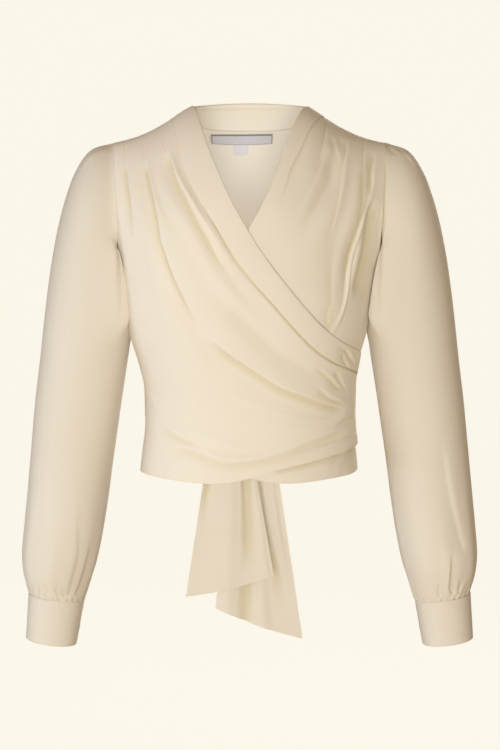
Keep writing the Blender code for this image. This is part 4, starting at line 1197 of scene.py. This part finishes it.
CUFF_HEIGHT = 60.0
CUFF_TAPER = 3.2
CUFF_LAP = 30.0
CUFF_LIFT = BAND_WALL + 1.4 * SEAM
CUFF_UNDER = 0.6
CUFF_OPENING = 128.0
BUTTON_RADIUS = 5.5
BUTTON_THICKNESS = 2.4
BUTTON_DROPS = (17.0, 42.0)


def arm_frame():
    """Centre of the sleeve's end, and the directions across, back and along the arm."""
    outer = sleeve_ring(LAST_RING, 0.0)
    inner = sleeve_ring(LAST_RING, 180.0)
    across = unit(outer - inner)
    back = np.array([0.0, 1.0, 0.0])
    along = np.cross(across, back)
    along = along * np.sign(-along[2])
    half = np.linalg.norm(outer - inner) / 2
    return (outer + inner) / 2, across, back, along, half


def cuff_point(turned, drop, rise):
    """Left cuff: turned runs from the outer side towards the back."""
    turned, drop, rise = np.broadcast_arrays(*(np.asarray(v, float) for v in (turned, drop, rise)))
    centre, across, back, along, half = arm_frame()
    size = reach(turned, SLEEVE_ROUNDNESS)
    taper = CUFF_TAPER * drop / CUFF_HEIGHT
    x = (half - taper + rise) * size * np.cos(np.radians(turned))
    y = (ring_value("half_depth", LAST_RING) - taper + rise) * size * np.sin(np.radians(turned))
    return centre + x[..., None] * across + y[..., None] * back + drop[..., None] * along


button_finish = Finish("cream_button", Roughness=0.32, Coat_Weight=0.25)
button_place = button_finish.add("ShaderNodeTexCoord", output="Object")
swirl = noise(button_finish, button_place, 260.0, 3.0)
button_colour = button_finish.mix(
    (swirl - 0.35) * 2.2, (0.80, 0.74, 0.62, 1.0), (0.88, 0.84, 0.75, 1.0)
)
button_finish.feed("Base Color", button_colour)
button_finish.feed("Roughness", 0.26 + swirl * 0.14)
thread_finish = crepe_finish("cream_thread", (0.78, 0.72, 0.60, 1.0), (0.70, 0.63, 0.50, 1.0))


def lathe(name, profile, centre, axis, side_way, finish, sides=40):
    """A turned piece: radii and heights about an axis, closed at both ends."""
    third = np.cross(axis, side_way)
    angle = np.arange(sides) * math.tau / sides
    ring = np.cos(angle)[:, None] * side_way + np.sin(angle)[:, None] * third
    points = [centre + profile[0][1] * axis]
    for radius, height in profile[1:-1]:
        points.extend(centre + height * axis + radius * ring)
    points.append(centre + profile[-1][1] * axis)
    faces = []
    count = len(profile) - 2
    for i in range(sides):
        j = (i + 1) % sides
        faces.append((0, 1 + i, 1 + j))
        faces.append((len(points) - 1, 1 + (count - 1) * sides + j, 1 + (count - 1) * sides + i))
        for k in range(count - 1):
            a = 1 + k * sides
            faces.append((a + i, a + sides + i, a + sides + j, a + j))
    mesh = bpy.data.meshes.new(name)
    mesh.from_pydata([tuple(0.001 * p) for p in np.array(points)], [], faces)
    mesh.validate()
    mesh.shade_smooth()
    mesh.set_sharp_from_angle(angle=math.radians(50))
    mesh.materials.append(finish)
    return placed(name, mesh)


HOLE_OFFSET = 1.15         # from a button's centre to its holes, both ways
HOLE_RADIUS = 0.6
THREAD_HEIGHT = 1.62       # the bars of thread lie this high over the cuff
THREAD_BAR = ((0, -1.35), (0.2, -1.3), (0.3, -1.0), (0.32, 0), (0.3, 1.0), (0.2, 1.3), (0, 1.35))


def applied(piece):
    """Give a piece the mesh that its modifiers make of it, and drop them."""
    evaluated = piece.evaluated_get(bpy.context.evaluated_depsgraph_get())
    made = bpy.data.meshes.new_from_object(evaluated)
    piece.modifiers.clear()
    piece.data = made


def drill(button, place, axis, side_way):
    """Cut a round hole right through a button."""
    profile = ((0, -1), (HOLE_RADIUS, -1), (HOLE_RADIUS, 4), (0, 4))
    cutter = lathe("drill", profile, place, axis, side_way, button_finish.material, 20)
    cut = button.modifiers.new("hole", "BOOLEAN")
    cut.operation = "DIFFERENCE"
    cut.solver = "EXACT"
    cut.object = cutter
    applied(button)
    bpy.data.objects.remove(cutter)


BUTTON_PROFILE = (         # shares of its radius, and heights over the cuff
    (0, SEAM), (0.8, SEAM), (0.97, 0.8), (1, 1.3), (0.96, 1.9), (0.84, BUTTON_THICKNESS),
    (0.74, BUTTON_THICKNESS - 0.15), (0.62, 1.65), (0, 1.5),
)
turned_start, turned_end = CUFF_OPENING - 360, CUFF_OPENING + CUFF_LAP
for name, side in SIDES:
    turned = (turned_start + (turned_end - turned_start) * edge_fine(160, 0.0012))[None, :]
    drop, distance = across_band(SEAM, CUFF_HEIGHT, CUFF_HEIGHT - SEAM)
    lift = CUFF_LIFT * smooth(CUFF_LAP, CUFF_LAP + 70, turned - turned_start) - CUFF_UNDER
    middle = cuff_point(turned, drop[:, None], lift)
    normals = unit(cuff_point(turned, drop[:, None], lift + 1) - middle)
    outer = middle + drift(middle, 0.25, 26.0)[..., None] * normals
    distance = distance[:, None] + 0 * turned
    to_hem = CUFF_HEIGHT - SEAM - distance
    outer, thickness = pillowed(outer, normals, BAND_WALL, distance + 0.5, to_hem)
    cuff = shell(
        f"cuff_band_{name}", mirrored(outer, side), shaded_sleeve_crepe, thickness=thickness,
        outward=mirrored(normals, side),
    )
    dress(cuff, f"cuff_{name}")
    for number, place in enumerate(BUTTON_DROPS, 1):
        at = CUFF_OPENING + 0.5 * CUFF_LAP
        seat = CUFF_LIFT - CUFF_UNDER
        seated = cuff_point(at, place, seat)
        outward = unit(cuff_point(at, place, seat + 1) - seated)
        down = arm_frame()[3]
        profile = [(share * BUTTON_RADIUS, height) for share, height in BUTTON_PROFILE]
        seated, outward, down = (mirrored(v, side) for v in (seated, outward, down))
        sideways = np.cross(outward, down)
        button = lathe(
            f"button_{name}_{number}", profile, seated, outward, down, button_finish.material
        )
        for at_side in (-HOLE_OFFSET, HOLE_OFFSET):
            for at_length in (-HOLE_OFFSET, HOLE_OFFSET):
                drill(button, seated + at_side * sideways + at_length * down, outward, down)
            bar = lathe(
                f"thread_{name}_{number}_{'a' if at_side < 0 else 'b'}", THREAD_BAR,
                seated + at_side * sideways + THREAD_HEIGHT * outward, down, outward,
                thread_finish, 12,
            )
            belong(bar)
        belong(button, f"cuff_button_{name}_{number}")


# ================================================================ ties, knot and tails
# The fronts run on as two ties of soft crepe that meet at the centre back.  They are knotted
# once and pulled firm, and the two ends hang below the hem with slanted, plainly hemmed ends.

KNOT_TURN = 179.3          # both ties end here, behind the knot
KNOT_TOP_RUN = 405.0
KNOT_BOTTOM_RUN = 447.0
TIE_RIPPLES = 3
TIE_TOP_RUN = 358.0
TIE_BOTTOM_RUN = 464.0
TIE_RIPPLE_RISE = 2.2
TIE_LIFT = 15.0
TIE_CLIMB = 10.0
TIE_COLUMNS = ("name", "side", "start_turn", "narrow_from", "ripple_from", "flat", "area")
TIES = (
    ("left", 1, TIE_START_TURN + 0.3, 96, 102, (0.17, 0.106), 0.0132),
    ("right", -1, TIE_INSIDE_TURN + 0.3, 80, 101, (0.19, 0.080), 0.0104),
)


def tie_rise(side, turn, run):
    """Rise of a tie: outside the back all along, or from inside the slit to outside it."""
    if side > 0:
        return LAYER - pressed(turn, 0 * turn + run)
    climbed = smooth(90, 90 + TIE_CLIMB, turn)
    return LAYER * climbed - tucked(-np.minimum(turn, 90)) * (1 - climbed)


ties = []
for tie in named(TIE_COLUMNS, TIES):
    down = edge_fine(66)[None, :]
    turn = np.linspace(tie["start_turn"], KNOT_TURN, 96)[:, None] + 0 * down
    narrow = smooth(tie["narrow_from"], 90 if tie["side"] < 0 else KNOT_TURN, turn)
    lift = TIE_LIFT * narrow * (1 - smooth(92, 130, turn)) * (tie["side"] < 0)
    top = TIE_TOP_RUN + (KNOT_TOP_RUN - TIE_TOP_RUN) * narrow - lift
    bottom = TIE_BOTTOM_RUN + (KNOT_BOTTOM_RUN - TIE_BOTTOM_RUN) * narrow - lift
    run = top + (bottom - top) * down
    ripple = smooth(tie["ripple_from"], tie["ripple_from"] + 14, turn)
    phase = math.tau * TIE_RIPPLES * down
    belly = np.sin(math.pi * down)
    lengthwise = (1 - np.cos(phase + 0.35 * np.sin(0.11 * turn + tie["side"]) * belly)) / 2
    finer = 0.35 * (1 - np.cos(2.3 * phase + 0.05 * turn)) / 2 * belly
    points = form(tie["side"] * turn, run)
    rise = tie_rise(tie["side"], turn, run) + (lengthwise + finer) * TIE_RIPPLE_RISE * ripple
    rise = rise + drift(points, 0.4) * smooth(0, 12, turn - tie["start_turn"])
    normals = form_normal(tie["side"] * turn, run)
    # painted shade in the troughs of the ripples
    painted_shade_and_border = 0.5 * ripple * (1 - lengthwise) ** 6
    piece = shell(
        f"tie_{tie['name']}_cloth", points + rise[..., None] * normals, crepe,
        painted_shade_and_border=painted_shade_and_border, outward=normals,
    )
    ties.append((piece, tie))

KNOT_CENTRE = (0.0, 105.5, -386.0)
KNOT_HALF = (21.0, 11.5, 26.0)
KNOT_SQUARENESS = 2.6
WRAP_EDGE = 0.55           # where the wrap across the knot ends, up and down its slant
rows, sides = 64, 104
polar = np.linspace(0.004, math.pi - 0.004, rows)[:, None]
angle = (np.arange(sides) * math.tau / sides)[None, :]
direction = np.stack(
    [np.sin(polar) * np.cos(angle), np.sin(polar) * np.sin(angle), np.cos(polar) + 0 * angle], -1
)
boxy = (np.abs(direction) ** KNOT_SQUARENESS).sum(-1) ** (-1 / KNOT_SQUARENESS)
sideways, upright = direction[..., 0], direction[..., 2]
past_wrap = np.abs(upright + 0.7 * sideways) - WRAP_EDGE
dent = 1 - 0.13 * bell(past_wrap, 0.09)
wrap = 0.035 * np.cos(9.0 * (sideways - 0.7 * upright) + 1.0) * (past_wrap < 0)
pleat = 0.03 * np.cos(7 * np.arctan2(sideways, upright)) * (past_wrap >= 0)
size = (boxy * (dent + wrap + pleat))[..., None]
# painted shade in the dent where the wrap across the knot ends
knot = shell(
    "knot_cloth", direction * size * np.array(KNOT_HALF) + np.array(KNOT_CENTRE), crepe,
    thickness=1.2, painted_shade_and_border=0.7 * bell(past_wrap, 0.07), closed=True, outward=direction,
)
belong(knot, node="tie_knot")
for piece, tie in ties:
    belong(piece, node=f"tie_{tie['name']}")
    [knot] if tie["side"] > 0 else []

TAIL_COLUMNS = (
    "name", "depth_top", "depth_end",
    "top_left", "top_right", "top_z",
    "hem_left", "hem_right",
    "end_left", "end_left_z", "end_right", "end_right_z",
    "flat", "area",
)
TAILS = (
    ("front", 103, 112, -16, 13, -412.5, -62, 11, -86, -656, 33, -627, (0.12, 0.25), 0.0195),
    ("back", 109, 120, -13, 17, -412.5, -30, 40, -46, -674, 72, -716, (0.12, 0.31), 0.0240),
)
HEM_Z = -500.0
TAIL_FOLD_COLUMNS = ("at_top", "at_end", "rise", "left", "right", "begins", "ends", "shade_paint")
TAIL_FOLDS = {
    "front": (
        (0.08, 0.04, -2.6, 0.09, 0.12, 0.00, 0.62, 0.75),
        (0.50, 0.48, 2.6, 0.40, 0.20, 0.00, 1.20, 0.0),
        (0.69, 0.65, 1.3, 0.07, 0.03, 0.00, 0.60, 0.0),
        (0.77, 0.72, -5.2, 0.10, 0.15, 0.00, 0.97, 0.6),
        (0.95, 0.93, 1.2, 0.12, 0.05, 0.10, 1.20, 0.0),
    ),
    "back": (
        (0.60, 0.84, -3.4, 0.14, 0.10, 0.00, 0.92, 0.6),
        (0.37, 0.35, -5.5, 0.12, 0.10, 0.45, 1.20, 0.6),
        (0.14, 0.14, 2.2, 0.14, 0.12, 0.30, 1.20, 0.0),
        (0.52, 0.56, 2.4, 0.14, 0.12, 0.30, 1.20, 0.0),
        (0.86, 0.95, 1.8, 0.14, 0.06, 0.00, 0.80, 0.0),
    ),
}
TAIL_HEM_SAG = 3.5         # the middle of a slanted hem hangs this much below its corners' line


def edge_curve(top, hem, end, down, hem_down):
    """An edge of a hanging end: straight to the level of the hem, and straight on from there."""
    near = top + (hem - top) * np.minimum(down / hem_down, 1)
    far = hem + (end - hem) * np.clip((down - hem_down) / (1 - hem_down), 0, 1)
    return np.where(down < hem_down, near, far)


def tail_sheet(tail, across, down):
    """Points of a hanging end; across 0 is its left edge, down 1 its slanted hem."""
    end_z = tail["end_left_z"] + (tail["end_right_z"] - tail["end_left_z"]) * across
    end_z = end_z - TAIL_HEM_SAG * np.sin(math.pi * across)
    z = tail["top_z"] + (end_z - tail["top_z"]) * down
    hem_down = (HEM_Z - tail["top_z"]) / (end_z - tail["top_z"])
    left = edge_curve(tail["top_left"], tail["hem_left"], tail["end_left"], down, hem_down)
    right = edge_curve(tail["top_right"], tail["hem_right"], tail["end_right"], down, hem_down)
    x = left + (right - left) * across
    y = tail["depth_top"] + (tail["depth_end"] - tail["depth_top"]) * smooth(0, 0.5, down)
    return np.stack([x, y + 0 * x, z + 0 * x], -1)


for tail in named(TAIL_COLUMNS, TAILS):
    across, down = edge_fine(84)[None, :], edge_fine(112)[:, None]
    points = tail_sheet(tail, across, down)
    painted_shade_and_border = np.zeros(points.shape[:-1])
    for fold in named(TAIL_FOLD_COLUMNS, TAIL_FOLDS[tail["name"]]):
        at = fold["at_top"] + (fold["at_end"] - fold["at_top"]) * smooth(0.3, 1.0, down)
        off = across - at
        hump = 1 - smooth(0, 1, np.where(off > 0, off / fold["right"], -off / fold["left"]))
        begins, ends = fold["begins"], fold["ends"]
        fade = window(begins - 0.12, begins + 0.12, ends - 0.3, ends, down)
        points[..., 1] -= fold["rise"] * hump * fade
        # painted shade in the troughs of the folds
        painted_shade_and_border = np.maximum(painted_shade_and_border, fold["shade_paint"] * hump * fade)
    points[..., 1] -= drift(points, 0.7, 30.0)
    piece = shell(
        f"tail_{tail['name']}", points, crepe, thickness=0.9, painted_shade_and_border=painted_shade_and_border,
        outward=np.broadcast_to(np.array([0.0, -1.0, 0.0]), points.shape),
    )
    dress(piece, f"tie_tail_{tail['name']}")
    stitch_along(points[::-1])


# ================================================================ labels
# A woven ribbon with turned-under ends is sewn inside the back neck, and a small square tab is
# caught under its lower edge.  Both are bare.

LABEL_WALL = 1.0
TAB_GAP = 1.0
LABEL_SAG = 1.5            # the sewn ribbon hangs this much lower at its middle
RIB_PITCH = 0.0004         # metres from one rib of the ribbon to the next
LABEL_COLUMNS = (
    "name", "node", "centre_turn", "half_turn", "top_run", "bottom_run", "gap", "flat",
)
LABELS = (
    ("neck_label", "label", -2.9, 11.6, 122.5, 137.5, TAB_GAP + LABEL_WALL + SEAM, (0.080, 0.0155)),
    ("size_label", "size_tab", -3.4, 2.9, 133.0, 155.5, TAB_GAP, (0.020, 0.0228)),
)

ribbon = Finish("lilac_ribbon", Roughness=0.55, Sheen_Weight=0.1)
ribbon_cloth = ribbon.add("ShaderNodeUVMap", settings={"uv_map": "cloth"})
ribbon_place = ribbon.add("ShaderNodeTexCoord", output="Object")
ribs = waves(ribbon, ribbon_cloth, "Y", RIB_PITCH)
ribbon_tone = noise(ribbon, ribbon_place, 700.0, 2.0)
ribbon_edge = ribbon.add("ShaderNodeAttribute", output="Fac", settings={"attribute_name": "painted_shade_and_border"})
ribbon_base = ribbon.mix(
    0.5 * ribs + 0.5 * ribbon_tone, (0.60, 0.565, 0.585, 1.0), (0.74, 0.71, 0.73, 1.0)
)
ribbon.feed("Base Color", ribbon.mix(ribbon_edge, ribbon_base, (0.235, 0.21, 0.245, 1.0)))
ribbon.feed("Roughness", 0.5 + 0.15 * ribs)
ribbon_bump = ribbon.add("ShaderNodeBump", Strength=0.3, Distance=0.0001, Height=ribs)
ribbon.feed("Normal", ribbon_bump)
for label in named(LABEL_COLUMNS, LABELS):
    across = np.linspace(-1, 1, 81)[None, :]
    down = np.linspace(0, 1, 21)[:, None]
    run = label["top_run"] + (label["bottom_run"] - label["top_run"]) * down + 0 * across
    turn = 180 - label["centre_turn"] - across * label["half_turn"] + 0 * run
    fallen = shoulder_height(0.0) - shoulder_height(np.abs(form(turn, run)[..., 0]))
    run = run - 1.3 * fallen + LABEL_SAG * (0.5 + down) * (1 - across**2)
    normals = form_normal(turn, run)
    rise = -WALL - label["gap"] + 0.12 * np.sin(5 * across + 3 * down)
    outer = form(turn, run) + rise[..., None] * normals
    half_long = label["flat"][0] * 500
    tall = label["flat"][1] * 1000
    inset = np.minimum(half_long * (1 - np.abs(across)), tall * np.minimum(down, 1 - down))
    sewn_on = label["name"] == "neck_label"
    border = (0.3 + 0.6 * (1 - smooth(0.9, 1.4, inset))) * sewn_on
    piece = shell(
        label["name"], outer, ribbon.material, LABEL_WALL - SEAM, painted_shade_and_border=border, outward=normals
    )
    belong(piece, label["node"])
    if sewn_on:
        face = outer - 0.75 * normals
        stitch_along(face, inset=0.9, skip=2)
        stitch_along(face[::-1], inset=0.9, skip=2)


# ================================================================ stitches
# Fine cream thread: a slip stitch that holds each turned-up hem of the body and the tails, and
# a straight stitch along both long edges of the neck label.

STITCH = {"Pitch": 0.0028, "Long": 0.0017, "Thick": 0.00034}   # in metres


def stitch_tree():
    """Points at an even pitch along edges, each with a short rounded stitch laid along them."""
    tree = bpy.data.node_groups.new("stitches", "GeometryNodeTree")
    kinds = {"Path": "Geometry", "Pitch": "Float", "Long": "Float", "Thick": "Float"}
    sockets = {}
    for name, kind in kinds.items():
        socket = tree.interface.new_socket(name, in_out="INPUT", socket_type=f"NodeSocket{kind}")
        sockets[name] = socket.identifier
    tree.interface.new_socket("Stitches", in_out="OUTPUT", socket_type="NodeSocketGeometry")
    inputs = tree.nodes.new("NodeGroupInput").outputs
    result = tree.nodes.new("NodeGroupOutput").inputs[0]
    curve_node, points_node, bead, size, uneven, length, instances, real, paint = (
        tree.nodes.new(kind)
        for kind in (
            "GeometryNodeMeshToCurve", "GeometryNodeCurveToPoints", "GeometryNodeMeshUVSphere",
            "ShaderNodeCombineXYZ", "FunctionNodeRandomValue", "ShaderNodeMath",
            "GeometryNodeInstanceOnPoints", "GeometryNodeRealizeInstances",
            "GeometryNodeSetMaterial",
        )
    )
    points_node.mode = "LENGTH"
    length.operation = "MULTIPLY"
    for node, socket, value in (
        (bead, "Segments", 6), (bead, "Rings", 4), (bead, "Radius", 0.5),
        (uneven, 2, 0.85), (uneven, 3, 1.12), (uneven, "Seed", 5),
        (paint, "Material", thread_finish),
    ):
        node.inputs[socket].default_value = value
    for start, end in (
        (inputs["Path"], curve_node.inputs["Mesh"]),
        (curve_node.outputs["Curve"], points_node.inputs["Curve"]),
        (inputs["Pitch"], points_node.inputs["Length"]),
        (inputs["Long"], length.inputs[0]),
        (uneven.outputs[1], length.inputs[1]),
        (inputs["Thick"], size.inputs["X"]),
        (inputs["Thick"], size.inputs["Y"]),
        (length.outputs[0], size.inputs["Z"]),
        (points_node.outputs["Points"], instances.inputs["Points"]),
        (points_node.outputs["Rotation"], instances.inputs["Rotation"]),
        (bead.outputs["Mesh"], instances.inputs["Instance"]),
        (size.outputs[0], instances.inputs["Scale"]),
        (instances.outputs["Instances"], real.inputs["Geometry"]),
        (real.outputs["Geometry"], paint.inputs["Geometry"]),
        (paint.outputs["Geometry"], result),
    ):
        tree.links.new(start, end)
    return tree, sockets


path_points = np.concatenate(stitch_paths) * 0.001
path_edges, first = [], 0
for path in stitch_paths:
    path_edges += [(first + k, first + k + 1) for k in range(len(path) - 1)]
    first += len(path)
path_mesh = bpy.data.meshes.new("stitches")
path_mesh.from_pydata([tuple(point) for point in path_points], path_edges, [])
stitches = placed("stitches", path_mesh)
tree, sockets = stitch_tree()
sewing = stitches.modifiers.new("sewing", "NODES")
sewing.node_group = tree
for name, value in STITCH.items():
    sewing[sockets[name]] = value
applied(stitches)
belong(stitches)


# ================================================================ studio
# A pale floor that sweeps up into a backdrop all round, broad soft lights from the front and
# from behind, and a small one inside the neck.

BOWL = ((0.0, -1.38), (2.5, -1.38), (5.2, -1.38), (6.4, -1.2), (7.2, -0.6), (7.6, 0.6), (7.7, 5.0))
BOWL_SIDES, BOWL_RINGS = 96, 48
angle = np.arange(BOWL_SIDES) * math.tau / BOWL_SIDES
fine = np.linspace(0, len(BOWL) - 1, BOWL_RINGS + 1)
radius, height = (curve(np.arange(len(BOWL), dtype=float), row)(fine) for row in np.array(BOWL).T)
bowl_points = [(0.0, 0.0, float(height[0]))]
for r, h in zip(radius[1:], height[1:]):
    bowl_points += [(float(r * math.cos(a)), float(r * math.sin(a)), float(h)) for a in angle]
bowl_faces = [(0, 1 + i, 1 + (i + 1) % BOWL_SIDES) for i in range(BOWL_SIDES)]
for k in range(BOWL_RINGS - 1):
    for i in range(BOWL_SIDES):
        a, b = 1 + k * BOWL_SIDES + i, 1 + k * BOWL_SIDES + (i + 1) % BOWL_SIDES
        bowl_faces.append((a, a + BOWL_SIDES, b + BOWL_SIDES, b))
bowl_mesh = bpy.data.meshes.new("studio_floor")
bowl_mesh.from_pydata(bowl_points, [], bowl_faces)
bowl_mesh.shade_smooth()
bowl_finish = Finish(
    "pale_floor", Roughness=0.9, Specular_IOR_Level=0, Base_Color=(0.012, 0.0115, 0.010, 1.0),
    Emission_Color=(1.0, 0.962, 0.85, 1.0), Emission_Strength=0.955,
)
bowl_mesh.materials.append(bowl_finish.material)
bowl = placed("studio_floor", bowl_mesh)
for ray in ("diffuse", "glossy", "shadow"):
    setattr(bowl, f"visible_{ray}", False)

LIGHT_COLUMNS = ("name", "place", "aim", "size", "power", "colour")
LIGHTS = (
    ("key", (-1.9, -2.2, -0.5), (0, 0, -0.34), (1.4, 1.7), 13, (0.90, 0.94, 1.0)),
    ("front", (0, -3.1, -0.35), (0, 0, -0.34), (1.2, 1.0), 45, (0.85, 0.93, 1.0)),
    ("low", (0, -2.7, -1.3), (0, 0, -0.34), (1.6, 1.0), 24, (1.0, 0.95, 0.76)),
    ("side", (-3.0, -0.5, -0.4), (0, 0, -0.34), (1.4, 1.6), 34, (0.68, 0.80, 1.0)),
    ("above", (0, -0.9, 2.2), (0, 0, -0.3), (1.5, 1.5), 8, (0.99, 1.0, 0.97)),
    ("behind", (0.6, 2.8, 0.3), (0, 0, -0.35), (2.2, 1.6), 82, (0.93, 0.96, 1.0)),
    ("inside", (0, -0.03, -0.13), (0, 0.09, -0.09), (0.09, 0.09), 0.105, (0.98, 1.0, 1.0)),
)
for lamp in named(LIGHT_COLUMNS, LIGHTS):
    data = bpy.data.lights.new(lamp["name"], "AREA")
    data.shape = "RECTANGLE"
    data.size, data.size_y = lamp["size"]
    data.energy = lamp["power"]
    data.color = lamp["colour"]
    light = placed(lamp["name"], data)
    light.location = lamp["place"]
    light.visible_camera = False
    x, y, z = np.array(lamp["aim"]) - np.array(lamp["place"])
    light.rotation_euler = (math.atan2(math.hypot(x, y), -z), 0, math.atan2(x, -y) + math.pi)

bpy.context.scene.view_settings.view_transform = "Standard"
world = bpy.data.worlds.new("studio_air")
world.use_nodes = True
air = world.node_tree.nodes["Background"].inputs
air["Color"].default_value = (1.0, 0.57, 0.12, 1.0)
air["Strength"].default_value = 0.216
bpy.context.scene.world = world

SENSOR = 36.0
FOCAL_HEIGHTS = 2207 / 750   # the focal length, in heights of the picture
CAMERA_DOWN = 7.513          # degrees below the level
camera_data = bpy.data.cameras.new("camera")
camera_data.lens = FOCAL_HEIGHTS * SENSOR
camera_data.sensor_width = SENSOR
camera = placed("camera", camera_data)
camera.location = (0.0006, -2.8, 0.03)
camera.rotation_euler = (math.radians(90 - CAMERA_DOWN), 0, 0)
bpy.context.scene.camera = camera
